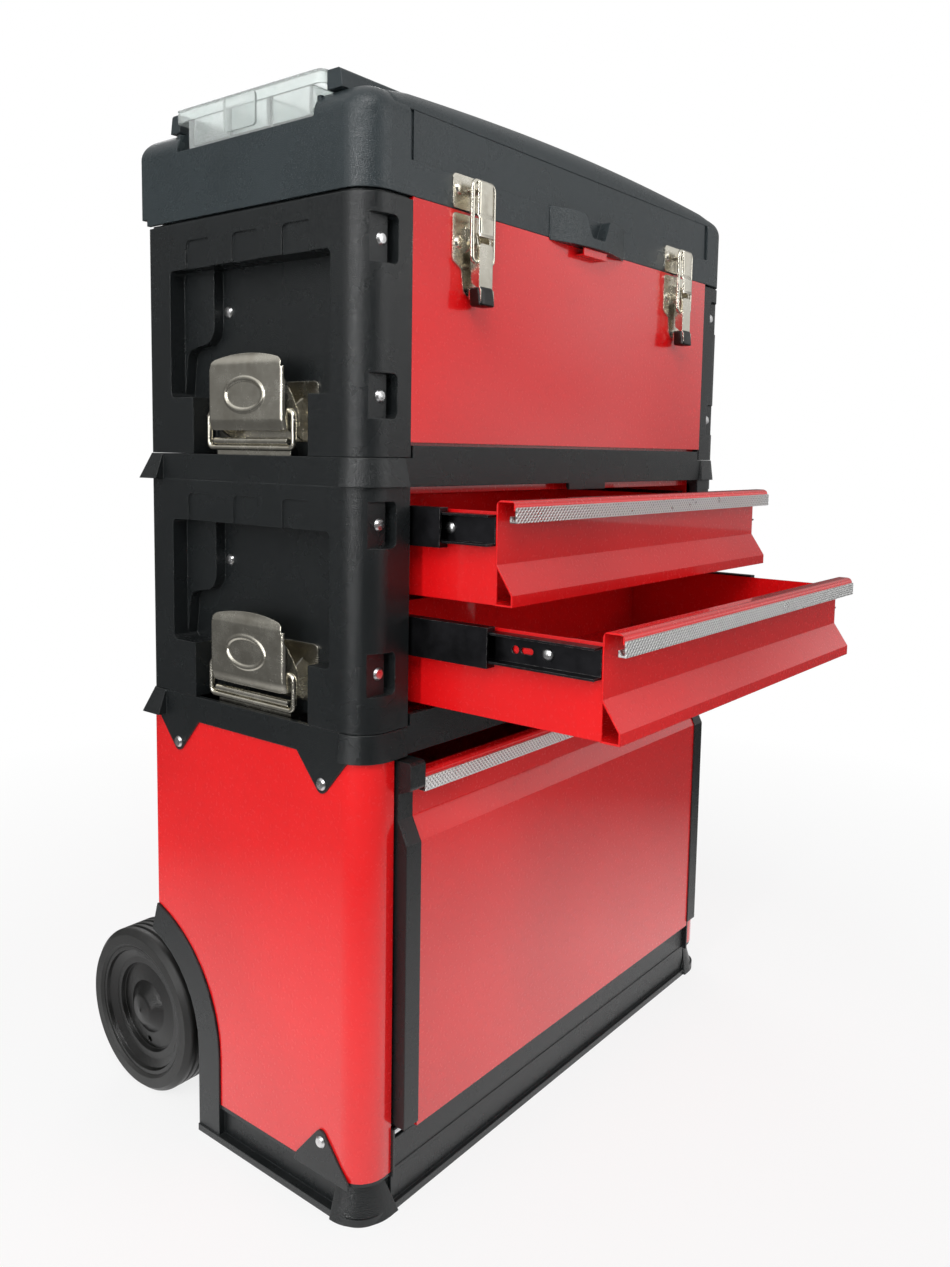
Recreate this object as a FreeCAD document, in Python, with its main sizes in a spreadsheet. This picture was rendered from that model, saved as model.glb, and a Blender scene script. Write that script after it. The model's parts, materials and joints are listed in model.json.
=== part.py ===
import FreeCAD, Part
import math
import os
import Sketcher

# Modular tool trolley in three stacked units on two wheels.
# The frame: +X to the right seen from the front, the front faces -Y, +Z is up.
# The origin lies on the floor, under the middle of the boxes.

Vector = FreeCAD.Vector
document = FreeCAD.newDocument("ToolTrolley")
sheet = document.addObject("Spreadsheet::Sheet", "Sizes")
parts = []


class Size:
    """A length known as a number and as an expression on the sheet of sizes."""

    def __init__(self, number, text):
        self.number = float(number)
        self.text = text

    def __add__(self, other):
        other = as_size(other)
        return Size(self.number + other.number, f"({self.text} + {other.text})")

    def __radd__(self, other):
        return as_size(other) + self

    def __sub__(self, other):
        other = as_size(other)
        return Size(self.number - other.number, f"({self.text} - {other.text})")

    def __rsub__(self, other):
        return as_size(other) - self

    def __mul__(self, other):
        other = as_size(other)
        return Size(self.number * other.number, f"({self.text} * {other.text})")

    def __rmul__(self, other):
        return as_size(other) * self

    def __truediv__(self, other):
        other = as_size(other)
        return Size(self.number / other.number, f"({self.text} / {other.text})")

    def __neg__(self):
        return Size(-self.number, f"(0 - {self.text})")

    def __float__(self):
        return self.number


def as_size(value):
    """Takes a plain number or a Size and gives a Size."""
    if isinstance(value, Size):
        return value
    return Size(value, f"({value})")


def root(value):
    """Square root of a Size."""
    return Size(math.sqrt(value.number), f"sqrt({value.text})")


def size(name, number, note):
    """Writes one driving size on the sheet and gives it back as read there."""
    row = len([cell for cell in sheet.PropertiesList if cell.startswith("B")]) + 1
    sheet.set(f"A{row}", name)
    sheet.set(f"B{row}", str(number))
    sheet.set(f"C{row}", note)
    sheet.setAlias(f"B{row}", name)
    sheet.recompute()
    return Size(sheet.get(name), f"Sizes.{name}")


def bind(thing, path, value):
    """Binds one property of an object to the sheet."""
    thing.setExpression(path, as_size(value).text)


# Driving sizes of the boxes
case_width = size("case_width", 476, "width over the end caps")
case_depth = size("case_depth", 216, "depth of the boxes")
corner_round = size("corner_round", 20, "plan radius of the upright corners")
rear_round = size("rear_round", 4, "plan radius of the rear corners")
plastic = size("plastic", 3, "wall of the mouldings")
steel = size("steel", 1.2, "sheet steel of the panels and shells")
rest_gap = size("rest_gap", 0.3, "clearance between pieces that come apart")
fit_gap = size("fit_gap", 0.1, "radial clearance of pins in their holes")
cap_width = size("cap_width", 39.8, "width of an end cap")
slide_room = size("slide_room", 12.7, "width that a drawer slide takes")

# Driving heights of the stack
base_height = size("base_height", 28, "height of the base rim")
panel_height = size("panel_height", 281, "height of the lower side panels")
collar_height = size("collar_height", 18, "height of a collar")
drawer_cap_height = size("drawer_cap_height", 153.4, "height of the middle end caps")
top_cap_height = size("top_cap_height", 158.5, "height of the top end caps")
lid_height = size("lid_height", 60.7, "height of the lid without its ridges")

half = case_width / 2
front = -case_depth / 2
back = case_depth / 2
box_half = half - cap_width
shell_half = box_half - steel
drawer_half = shell_half - slide_room
collar_low = base_height + panel_height
middle_low = collar_low + collar_height + rest_gap
middle_high = middle_low + drawer_cap_height
top_low = middle_high + collar_height + rest_gap
top_high = top_low + top_cap_height
lid_low = top_high + rest_gap
lid_high = lid_low + lid_height

# Driving sizes of the base
base_inset = size("base_inset", 5, "setback of the base band")
base_lip = size("base_lip", 5, "height of the lip along the floor")
base_ledge = size("base_ledge", 3, "height of the ledge under the panels")
panel_inset = size("panel_inset", 1.5, "setback of the red side panels")
panel_wrap = size("panel_wrap", 28, "reach of a side panel round the front corner")
panel_flange = size("panel_flange", 10, "depth of the flange behind the front edge")
front_wall_top = size("front_wall_top", 48, "height of the base wall under the door")
corner_block = size("corner_block", 26.5, "length of the front corner blocks")
corner_reach = size("corner_reach", 29.3, "width of the front corner blocks")
base_flare = size("base_flare", 8, "outward flare of the base corners")
flare_start = size("flare_start", 0.5, "step where a corner flare starts")

# Driving sizes of the wheels
wheel_radius = size("wheel_radius", 63.4, "radius of the tyre")
wheel_width = size("wheel_width", 36, "width of the tyre")
wheel_inset = size("wheel_inset", 1.3, "setback of the wheel from the side")
axle_setback = size("axle_setback", 29, "axle centre behind the boxes")
axle_radius = size("axle_radius", 6, "radius of the axle")
arch_radius = size("arch_radius", 78, "inner radius of the wheel arch")
arch_band = size("arch_band", 23, "width of the arch trim")
well_gap = size("well_gap", 4.7, "room between a wheel and its well")
beam_top = size("beam_top", 84, "top of the axle beam")
beam_reach = size("beam_reach", 16, "reach of the beam behind the axle")
rim_radius = size("rim_radius", 50, "radius of the rim")
hub_radius = size("hub_radius", 17.5, "radius of the domed hub")
dish_depth = size("dish_depth", 9, "depth of the dished disc")
disc_web = size("disc_web", 5, "thickness of the disc")
rib_depth = size("rib_depth", 1.6, "depth of the grooves round the tyre")

axle_y = back + axle_setback
wheel_out = half - wheel_inset
wheel_in = wheel_out - wheel_width
well_half = wheel_in - well_gap
arch_front = axle_y - arch_radius
panel_out = half - panel_inset
panel_in = panel_out - steel
panel_edge = half - panel_wrap
base_out = half - base_inset
panel_arch = arch_radius + arch_band

# Driving sizes of the collars
deck = size("deck", 3, "thickness of a collar's deck")
collar_wall = size("collar_wall", 4, "wall of a collar")
rim_height = size("rim_height", 7.9, "rise of the front locating rim above the collar")
rim_half = size("rim_half", 196, "half length of the locating rim")
flare_out_front = size("flare_out_front", 3, "outward flare of a collar's front corners")
flare_out_rear = size("flare_out_rear", 7, "outward flare of a collar's rear corners")
flare_front = size("flare_front", 21.5, "length of the front corner flares on the side")
flare_rear = size("flare_rear", 15, "length of the rear corner flares on the side")
flare_across = size("flare_across", 34, "length of the corner flares on the front")
tab_rear = size("tab_rear", 79, "middle of the rear collar tab")
tab_front = size("tab_front", -70, "middle of the front collar tab")
tab_half = size("tab_half", 24, "half width of a collar tab")
tab_drop = size("tab_drop", 27, "reach of a collar tab below the collar")
bracket_x = size("bracket_x", 9, "middle of the small bracket on the middle collar")
bracket_half = size("bracket_half", 26, "half width of that bracket")
foot_tab_y = size("foot_tab_y", -70, "middle of the base tabs")
foot_tab_half = size("foot_tab_half", 25.5, "half width of a base tab")
foot_tab_rise = size("foot_tab_rise", 30, "rise of a base tab above the rim")

# Driving sizes of the telescopic handle
tube_half_gap = size("tube_half_gap", 150, "handle tubes from the middle")
tube_radius = size("tube_radius", 11, "radius of the outer tubes")
tube_wall = size("tube_wall", 1.4, "wall of the handle tubes")
tube_setback = size("tube_setback", 24, "tube centres behind the boxes")
tube_top = size("tube_top", 540, "top of the outer tubes")
inner_foot = size("inner_foot", 95, "foot of the stowed inner tubes")
grip_low = size("grip_low", 566, "underside of the stowed grip")
grip_height = size("grip_height", 26, "height of the grip")
grip_depth = size("grip_depth", 24, "depth of the grip")
sleeve_wall = size("sleeve_wall", 5, "wall of the tube sleeves")
button_half = size("button_half", 18, "half length of the release button")
button_width = size("button_width", 12, "width of the release button")
button_rise = size("button_rise", 3, "travel of the release button")
tube_y = back + tube_setback
inner_radius = tube_radius - tube_wall - fit_gap

# Driving sizes of the tilt-out bin
door_half = size("door_half", 194, "half width of the red door panel")
trim_width = size("trim_width", 14, "width of the black door end trims")
door_low = size("door_low", 56, "bottom of the door")
door_drop = size("door_drop", 10, "door top below the collar")
door_crease = size("door_crease", 41.5, "upper crease below the collar")
door_proud = size("door_proud", 8, "step of the door's lower panel")
crease_fall = size("crease_fall", 15.5, "height of the step's slope")
strip_height = size("strip_height", 9.5, "height of the aluminium strips")
roll_reach = size("roll_reach", 10, "forward reach of the door's rolled top")
hinge_radius = size("hinge_radius", 4.5, "radius of the bin's hinge bead")
rod_radius = size("rod_radius", 2.5, "radius of the bin's hinge rod")
hinge_setback = size("hinge_setback", 3.5, "hinge rod behind the box front")
tub_half = size("tub_half", 189, "half width of the bin tub")
tub_depth = size("tub_depth", 156, "depth of the bin tub")
tub_side_top = size("tub_side_top", 180, "height of the tub's back edge")
tub_back_top = size("tub_back_top", 237, "height of the tub's upper back edge")
tub_front_top = size("tub_front_top", 284, "height of the tub's front wall")
hinge_y = front + hinge_setback
hinge_z = front_wall_top + hinge_radius + rest_gap

# Driving sizes of the drawers
front_half = size("front_half", 186, "half width of a drawer front")
drawer_setback = size("drawer_setback", 12, "closed drawer front behind the box front")
upper_out = size("upper_out", 72, "extension of the upper drawer as shown")
lower_out = size("lower_out", 149, "extension of the lower drawer as shown")
upper_top = size("upper_top", 147.4, "top of the upper drawer above the unit")
lower_top = size("lower_top", 76.7, "top of the lower drawer above the unit")
drawer_height = size("drawer_height", 64.4, "height of a drawer front")
drawer_length = size("drawer_length", 194, "length of a drawer")
side_drop = size("side_drop", 7, "drawer sides below the front's top")
front_crease = size("front_crease", 39.4, "crease below the drawer's top")
front_lip = size("front_lip", 57, "lip below the drawer's top")
lip_reach = size("lip_reach", 12, "forward reach of the drawer's lip")
hook_reach = size("hook_reach", 13, "forward reach of the drawer's rolled top")
slide_drop = size("slide_drop", 18.5, "slide centre below the drawer's top")
outer_race = size("outer_race", 28.2, "height of the outer slide member")
middle_race = size("middle_race", 25, "height of the middle slide member")
inner_race = size("inner_race", 19, "height of the inner slide member")
race_web = size("race_web", 1.4, "web of the slide members")
slide_length = size("slide_length", 186, "length of a slide member")
shell_floor = size("shell_floor", 1.7, "shell floor above the collar below")
rail_drop = size("rail_drop", 8, "depth of the bottom front rail")
rail_lip = size("rail_lip", 5, "depth of the top front rail")
shell_setback = size("shell_setback", 11, "front rails behind the box front")
drawer_back_gap = size("drawer_back_gap", 2, "shell's back sheet inside the caps")

# Driving sizes of the end caps
recess_depth = size("recess_depth", 20, "depth of the grip recess")
recess_low = size("recess_low", 38.6, "grip recess above the cap's bottom")
recess_high = size("recess_high", 125.3, "top of the grip recess above the cap's bottom")
recess_front = size("recess_front", -77, "front end of the grip recess")
recess_rear = size("recess_rear", 82.5, "rear end of the grip recess")
slot_front = size("slot_front", -57.5, "front edge of the latch slot")
slot_rear = size("slot_rear", 58, "rear edge of the latch slot")
recess_round = size("recess_round", 4, "corner radius of the grip recess")
ledge_rise = size("ledge_rise", 8, "height of the ledge on the recess floor")
ledge_front = size("ledge_front", 49.6, "front edge of that ledge")
ledge_turn = size("ledge_turn", 74, "turn of the ledge above the cap's bottom")
dent_pitch = size("dent_pitch", 49, "pitch of the finger dents over the recess")
dent_half = size("dent_half", 12.5, "half width of a finger dent")
dent_top = size("dent_top", 144.1, "top of the finger dents above the cap's bottom")
dent_depth = size("dent_depth", 1.2, "depth of the finger dents")
pocket_depth = size("pocket_depth", 5, "depth of the corner pockets")
pocket_reach = size("pocket_reach", 22.5, "length of the corner pockets")
pocket_slot = size("pocket_slot", 4.8, "width of the slot at a pocket's end")
slot_depth = size("slot_depth", 10, "depth of that slot")
high_pocket = size("high_pocket", 130.3, "middle of the upper corner pocket above the cap")
high_pocket_height = size("high_pocket_height", 28.7, "height of the upper corner pocket")
low_pocket = size("low_pocket", 37.1, "middle of the lower corner pocket above the cap")
low_pocket_height = size("low_pocket_height", 27.3, "height of the lower corner pocket")
rebate = size("rebate", 3, "width of the rebate under the lid")
rebate_height = size("rebate_height", 2, "height of the rebate under the lid")
rivet_radius = size("rivet_radius", 4.2, "radius of a rivet head")
rivet_rise = size("rivet_rise", 1.8, "height of a rivet head")
pocket_rivet = size("pocket_rivet", 17, "corner rivets from the side")

# Driving sizes of the side latches
latch_y = size("latch_y", 3, "middle of a side latch")
latch_half = size("latch_half", 37, "half width of a side latch's lever")
latch_low = size("latch_low", 16, "lever's lower edge above the cap's bottom")
latch_high = size("latch_high", 61, "lever's upper corners above the cap's bottom")
latch_arch = size("latch_arch", 5, "rise of the lever's arched upper edge")
latch_pin = size("latch_pin", 22, "lever's pin above the cap's bottom")
latch_pin_depth = size("latch_pin_depth", 9, "lever's pin inside the cap's side")
pin_radius = size("pin_radius", 2, "radius of the lever's pin")
latch_plate = size("latch_plate", 1.2, "thickness of the latch plates")
ear_gap = size("ear_gap", 0.5, "room between a lever and the ears of its base")
ear_width = size("ear_width", 1.8, "thickness of the ears")
ear_radius = size("ear_radius", 4, "radius of an ear round the pin")
ear_drop = size("ear_drop", 9, "base plate's bottom above the cap's bottom")
ear_top = size("ear_top", 48, "base plate's top above the cap's bottom")
ear_root = size("ear_root", 38, "ear's root above the cap's bottom")
bail_radius = size("bail_radius", 1.75, "radius of the bail's wire")
bail_half = size("bail_half", 42.5, "half width of the bail")
bail_depth = size("bail_depth", 4.5, "bail inside the cap's side")
bail_high = size("bail_high", 28.5, "bail's pivot above the cap's bottom")
bail_low = size("bail_low", 4.4, "bail's lower strand above the cap's bottom")
strike_half = size("strike_half", 37, "half width of a strike")
strike_bead = size("strike_bead", 2.4, "radius of the strike's rolled lip")
strike_root = size("strike_root", 20, "height of the strike on the collar")
base_half = size("base_half", 50, "half width of a side latch's base plate")
ring_half = size("ring_half", 20.3, "half length of the raised oval ring")
ring_high = size("ring_high", 11.5, "half height of the raised oval ring")
ring_rise = size("ring_rise", 0.8, "rise of the raised oval ring")

# Driving sizes of the front latches
draw_x = size("draw_x", 140.5, "front latches from the middle")
draw_half = size("draw_half", 21, "half width of a front latch's plates")
draw_foot_half = size("draw_foot_half", 12, "half width of the base plate's foot")
draw_pin_drop = size("draw_pin_drop", 17.5, "lever's pin below the box top")
draw_pin_out = size("draw_pin_out", 6.5, "lever's pin before the box front")
draw_lever_half = size("draw_lever_half", 7, "half width of a front lever")
draw_lever_low = size("draw_lever_low", 60, "lever's end below the box top")
draw_base_low = size("draw_base_low", 53.5, "base plate's end below the box top")
draw_shoulder = size("draw_shoulder", 32, "base plate's shoulders below the box top")
draw_rivet = size("draw_rivet", 15, "rivets of a front latch from its middle")
tip_high = size("tip_high", 12, "height of the lever's grip tip")
hook_drop = size("hook_drop", 15, "hook's pivot below the lever's pin")
hook_lead = size("hook_lead", 2.5, "hook's pivot before the lever's pin")
hook_wire = size("hook_wire", 1.5, "radius of the hook's wire")
hook_half = size("hook_half", 11, "half width of the hook's wire loop")
hook_high = size("hook_high", 18, "hook's upper strand above the lid's bottom")
lip_slack = size("lip_slack", 2.4, "slack of the hook's wire over the catch's lip")
lever_out = size("lever_out", 11, "lever's plate before the box front")
cover_half = size("cover_half", 7.5, "half width of the hook's cover plate")
cover_fold = size("cover_fold", 23, "fold of the cover plate below its top")
cover_low = size("cover_low", 36.5, "end of the cover plate below its top")
catch_high = size("catch_high", 22, "catch plate's top above the lid's bottom")
catch_half = size("catch_half", 6, "half width of the catch's lip")

# Driving sizes of the lid
lid_tail = size("lid_tail", 6, "overhang of the lid at the back")
lid_round = size("lid_round", 15, "radius of the lid's top edges")
lid_skirt = size("lid_skirt", 21.2, "height of the lid's skirt")
lid_step = size("lid_step", 3, "step between the lid's ends and its middle")
lid_end = size("lid_end", 37.5, "length of the lid's proud ends")
lid_slot = size("lid_slot", 4, "width of the slots beside the lid's middle")
tail_rise = size("tail_rise", 4.5, "rise of the lid's underside behind the box")
lid_hinge_drop = size("lid_hinge_drop", 5, "lid's hinge below the box top")
knuckle_radius = size("knuckle_radius", 4.9, "radius of the lid's hinge knuckles")
knuckle_length = size("knuckle_length", 34, "length of a hinge knuckle")
hinge_pin_radius = size("hinge_pin_radius", 2, "radius of the lid's hinge pin")
organizer_width = size("organizer_width", 120, "length of an organizer across the lid")
organizer_front = size("organizer_front", -62.5, "front of the organizer notch")
organizer_rear = size("organizer_rear", 73, "rear of the organizer notch")
organizer_depth = size("organizer_depth", 15.5, "depth of the organizer notch")
bin_rise = size("bin_rise", 3, "rise of the organizer bins above the lid")
bin_wall = size("bin_wall", 2, "wall of the organizer bins")
flap_front = size("flap_front", -69.5, "front of an organizer flap")
flap_rear = size("flap_rear", 74.6, "rear of an organizer flap")
flap_height = size("flap_height", 8, "height of an organizer flap")
flap_wall = size("flap_wall", 1.5, "wall of an organizer flap")
flap_barrel = size("flap_barrel", 2, "radius of the flap's hinge barrel")
flap_pin = size("flap_pin", 1.2, "radius of the flap's hinge pin")
flap_clip_half = size("flap_clip_half", 15.5, "half width of a flap's clip")
flap_clip_y = size("flap_clip_y", 5, "middle of a flap's clip")
flap_clip_drop = size("flap_clip_drop", 15, "reach of a flap's clip below the flap")
ridge_width = size("ridge_width", 13, "width of the ridges on the lid")
ridge_height = size("ridge_height", 10.5, "height of the ridges on the lid")
lug_half = size("lug_half", 52, "half width of the lid's middle lug")
lug_low = size("lug_low", 1.8, "lug's reach below the lid")
lug_high = size("lug_high", 22.2, "lug's reach above the lid's bottom")
lug_out = size("lug_out", 10, "lug before the box front")
lug_bow = size("lug_bow", 140, "plan radius of the bowed lug")
scoop_half = size("scoop_half", 27, "half width of the scoop in the lug")
scoop_foot = size("scoop_foot", 6, "half width of the scoop's foot")
scoop_depth = size("scoop_depth", 17, "depth of the scoop in the lug")
carry_half = size("carry_half", 84, "half length of the lid's carry handle")
carry_depth = size("carry_depth", 42, "width of the folded carry handle")
carry_thick = size("carry_thick", 8, "thickness of the carry handle")
carry_leg = size("carry_leg", 16, "width of the carry handle's legs")
carry_well = size("carry_well", 11.5, "depth of the carry handle's well")
hasp_half = size("hasp_half", 16, "half width of the red hasp tab")
hasp_drop = size("hasp_drop", 7.5, "foot of the hasp tab below the box top")
hasp_out = size("hasp_out", 6, "hasp tab before the box front")
shell_step = size("shell_step", 6.5, "setback of the top shell above the rim")
shell_step_rise = size("shell_step_rise", 9.5, "height of that setback")

lid_hinge_y = back + lid_tail
lid_hinge_z = top_high - lid_hinge_drop


# Working with bodies and sketches
PLANES = {"plan": "XY_Plane", "front": "XZ_Plane", "side": "YZ_Plane"}


def new_body(label):
    """Starts the body of one sub-part, which is also the name of its file."""
    body = document.addObject("PartDesign::Body", label)
    body.Label = label
    parts.append(body)
    return body


def origin_plane(body, view):
    """Finds one of the body's own origin planes by its role."""
    return next(item for item in body.Origin.OriginFeatures if item.Role == PLANES[view])


def tangent_length(before, corner, after, radius):
    """Distance from a corner to where an arc of this radius meets its two sides."""
    first = (before - corner).normalize()
    second = (after - corner).normalize()
    half_angle = first.getAngle(second) / 2
    return radius / math.tan(half_angle)


def add_circle(sketch, centre_u, centre_v, radius):
    """One circle, bound by its centre and radius."""
    centre = Vector(float(centre_u), float(centre_v), 0)
    circle = sketch.addGeometry(Part.Circle(centre, Vector(0, 0, 1), float(radius)), False)
    for kind, value in (("DistanceX", centre_u), ("DistanceY", centre_v)):
        number = sketch.addConstraint(Sketcher.Constraint(kind, -1, 1, circle, 3, float(value)))
        bind(sketch, f"Constraints[{number}]", value)
    number = sketch.addConstraint(Sketcher.Constraint("Radius", circle, float(radius)))
    bind(sketch, f"Constraints[{number}]", radius)


def add_outline(sketch, corners, close=True):
    """A chain of straight lines; a corner with a third value is rounded by that radius."""
    count = len(corners)
    points = [Vector(float(corner[0]), float(corner[1]), 0) for corner in corners]
    entry = list(points)
    leave = list(points)
    for index, corner in enumerate(corners):
        if len(corner) == 3:
            point = points[index]
            before = points[index - 1]
            after = points[(index + 1) % count]
            reach = tangent_length(before, point, after, float(corner[2]))
            entry[index] = point + (before - point).normalize() * reach
            leave[index] = point + (after - point).normalize() * reach
    last = count if close else count - 1
    lines = []
    for index in range(last):
        segment = Part.LineSegment(leave[index], entry[(index + 1) % count])
        lines.append(sketch.addGeometry(segment, False))
    for index, corner in enumerate(corners):
        incoming = lines[index - 1] if close or index > 0 else None
        outgoing = lines[index] if index < last else None
        if len(corner) == 3:
            held = round_corner(sketch, points[index], entry[index], leave[index],
                                incoming, outgoing, corner[2])
        elif outgoing is None:
            held = (incoming, 2)
        else:
            held = (outgoing, 1)
            if incoming is not None:
                sketch.addConstraint(Sketcher.Constraint("Coincident", incoming, 2, outgoing, 1))
        for kind, value in (("DistanceX", corner[0]), ("DistanceY", corner[1])):
            number = sketch.addConstraint(Sketcher.Constraint(kind, -1, 1, *held, float(value)))
            bind(sketch, f"Constraints[{number}]", value)


def round_corner(sketch, corner, start, end, incoming, outgoing, radius):
    """An arc tangent to both sides, with a construction point left at the sharp corner."""
    turn = (corner - start).cross(end - corner).z
    bisector = (start + end - corner * 2).normalize()
    span = (start - corner).Length
    centre = corner + bisector * math.hypot(span, float(radius))
    first, second = (start, end) if turn > 0 else (end, start)
    first_angle = math.atan2(first.y - centre.y, first.x - centre.x)
    second_angle = math.atan2(second.y - centre.y, second.x - centre.x)
    circle = Part.Circle(centre, Vector(0, 0, 1), float(radius))
    arc = sketch.addGeometry(Part.ArcOfCircle(circle, first_angle, second_angle), False)
    point = sketch.addGeometry(Part.Point(corner), True)
    start_end, end_end = (1, 2) if turn > 0 else (2, 1)
    sketch.addConstraint([
        Sketcher.Constraint("PointOnObject", point, 1, incoming),
        Sketcher.Constraint("PointOnObject", point, 1, outgoing),
        Sketcher.Constraint("Tangent", incoming, 2, arc, start_end),
        Sketcher.Constraint("Tangent", arc, end_end, outgoing, 1)])
    number = sketch.addConstraint(Sketcher.Constraint("Radius", arc, float(radius)))
    bind(sketch, f"Constraints[{number}]", radius)
    return point, 1


def draw(body, view, level, outlines, centre=(0, 0), close=True):
    """A sketch on a plane parallel to an origin plane, its own origin moved to centre."""
    sketch = body.newObject("Sketcher::SketchObject", body.Label + "_sketch")
    sketch.AttachmentSupport = (origin_plane(body, view), [""])
    sketch.MapMode = "FlatFace"
    depth = -as_size(level) if view == "front" else as_size(level)
    bind(sketch, "AttachmentOffset.Base.x", centre[0])
    bind(sketch, "AttachmentOffset.Base.y", centre[1])
    bind(sketch, "AttachmentOffset.Base.z", depth)
    for outline in outlines:
        if outline[0] == "circle":
            add_circle(sketch, *outline[1:])
        else:
            add_outline(sketch, outline, close)
    return sketch


def settle(body, feature, before, grows):
    """Recomputes and makes sure that the feature added or took away material."""
    document.recompute()
    change = body.Shape.Volume - before
    if (change > 0) != grows or abs(change) < 1e-3:
        raise ValueError(f"{body.Label}: {feature.Name} changed the volume by {change:.3f}")
    return feature


def volume(body):
    """Volume of the body so far."""
    return body.Shape.Volume if body.Tip and not body.Shape.isNull() else 0.0


def pad(body, view, low, high, *outlines):
    """Adds the outlines' area from low to high along the axis across the view."""
    before = volume(body)
    level = high if view == "front" else low
    feature = body.newObject("PartDesign::Pad", body.Label + "_pad")
    feature.Profile = draw(body, view, level, outlines)
    bind(feature, "Length", as_size(high) - low)
    return settle(body, feature, before, True)


def pocket(body, view, low, high, *outlines):
    """Takes the outlines' area away from low to high along the axis across the view."""
    before = volume(body)
    level = high if view == "front" else low
    feature = body.newObject("PartDesign::Pocket", body.Label + "_pocket")
    feature.Profile = draw(body, view, level, outlines)
    feature.Reversed = True
    bind(feature, "Length", as_size(high) - low)
    return settle(body, feature, before, False)


def revolve(body, view, level, centre, outline, axis):
    """Turns an outline about an axis of its own sketch, whose origin lies at centre."""
    before = volume(body)
    feature = body.newObject("PartDesign::Revolution", body.Label + "_turned")
    sketch = draw(body, view, level, [outline], centre)
    feature.Profile = sketch
    feature.ReferenceAxis = (sketch, [axis])
    feature.Angle = 360
    return settle(body, feature, before, True)


def loft(body, view, low, low_outline, high, high_outline):
    """Adds a solid that runs from one outline to another."""
    before = volume(body)
    feature = body.newObject("PartDesign::AdditiveLoft", body.Label + "_loft")
    feature.Profile = draw(body, view, low, [low_outline])
    feature.Sections = [draw(body, view, high, [high_outline])]
    feature.Ruled = True
    return settle(body, feature, before, True)


def wire_loop(body, view, depth, corners, radius, start):
    """A closed loop of round wire in a side or front view, its section standing on one leg."""
    before = volume(body)
    path = draw(body, view, depth, [corners])
    leg, level = start
    centre = (depth, leg) if view == "side" else (leg, depth)
    section = draw(body, "plan", level, [("circle", *centre, radius)])
    feature = body.newObject("PartDesign::AdditivePipe", body.Label + "_wire")
    feature.Profile = section
    feature.Spine = path
    return settle(body, feature, before, True)


def fillet(body, radius, test):
    """Rounds the edges whose bounding box passes the test."""
    names = []
    for index, edge in enumerate(body.Shape.Edges):
        if test(edge.BoundBox, edge):
            names.append(f"Edge{index + 1}")
    before = volume(body)
    base = body.Tip
    feature = body.newObject("PartDesign::Fillet", body.Label + "_fillet")
    feature.Base = (base, names)
    bind(feature, "Radius", radius)
    return settle(body, feature, before, False)


def shell_out(body, thickness, test):
    """Hollows the body through the faces that pass the test."""
    names = []
    for index, face in enumerate(body.Shape.Faces):
        if test(face.BoundBox):
            names.append(f"Face{index + 1}")
    before = volume(body)
    base = body.Tip
    feature = body.newObject("PartDesign::Thickness", body.Label + "_hollow")
    feature.Base = (base, names)
    bind(feature, "Value", thickness)
    feature.Reversed = True
    return settle(body, feature, before, False)


def span(side, near, far):
    """Low and high x of a stretch given by its distances from the middle."""
    near = as_size(near)
    far = as_size(far)
    return (near, far) if side > 0 else (-far, -near)


def flip(side, corners):
    """Mirrors the first value of each corner on the left side."""
    return [(side * as_size(corner[0]), *corner[1:]) for corner in corners]


def box(low_u, low_v, high_u, high_v, *radius):
    """Corners of a rectangle, all rounded alike where a radius is given."""
    return [(low_u, low_v, *radius), (high_u, low_v, *radius),
            (high_u, high_v, *radius), (low_u, high_v, *radius)]


def side_name(side):
    """Left and right as seen from the front."""
    return "right" if side > 0 else "left"


def rivet_head(radius, rise):
    """Half section of a domed rivet head; the axis is the second direction."""
    return [(0, 0), (radius, 0), (radius * 0.72, rise * 0.8), (0, rise)]


def side_rivet(body, side, face, y, z):
    """A domed head on a face that looks sideways."""
    profile = [(v, u) for u, v in rivet_head(rivet_radius, side * rivet_rise)]
    revolve(body, "front", y, (side * face, z), profile, "H_Axis")


def front_rivet(body, face, x, z):
    """A domed head on a face that looks forward."""
    profile = rivet_head(rivet_radius, -rivet_rise)
    revolve(body, "plan", z, (x, face), profile, "V_Axis")


# Base unit
def corner_outline(side, end, out, across, length, radius):
    """Plan outline of a corner block: side is -1 or 1 in x, end is -1 at the front."""
    reach = half + out
    edge = end * (case_depth / 2 + out)
    inner = end * (case_depth / 2 - length)
    corners = [(half - across, inner), (half - across, edge), (reach, edge, radius), (reach, inner)]
    return flip(side, corners)


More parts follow.
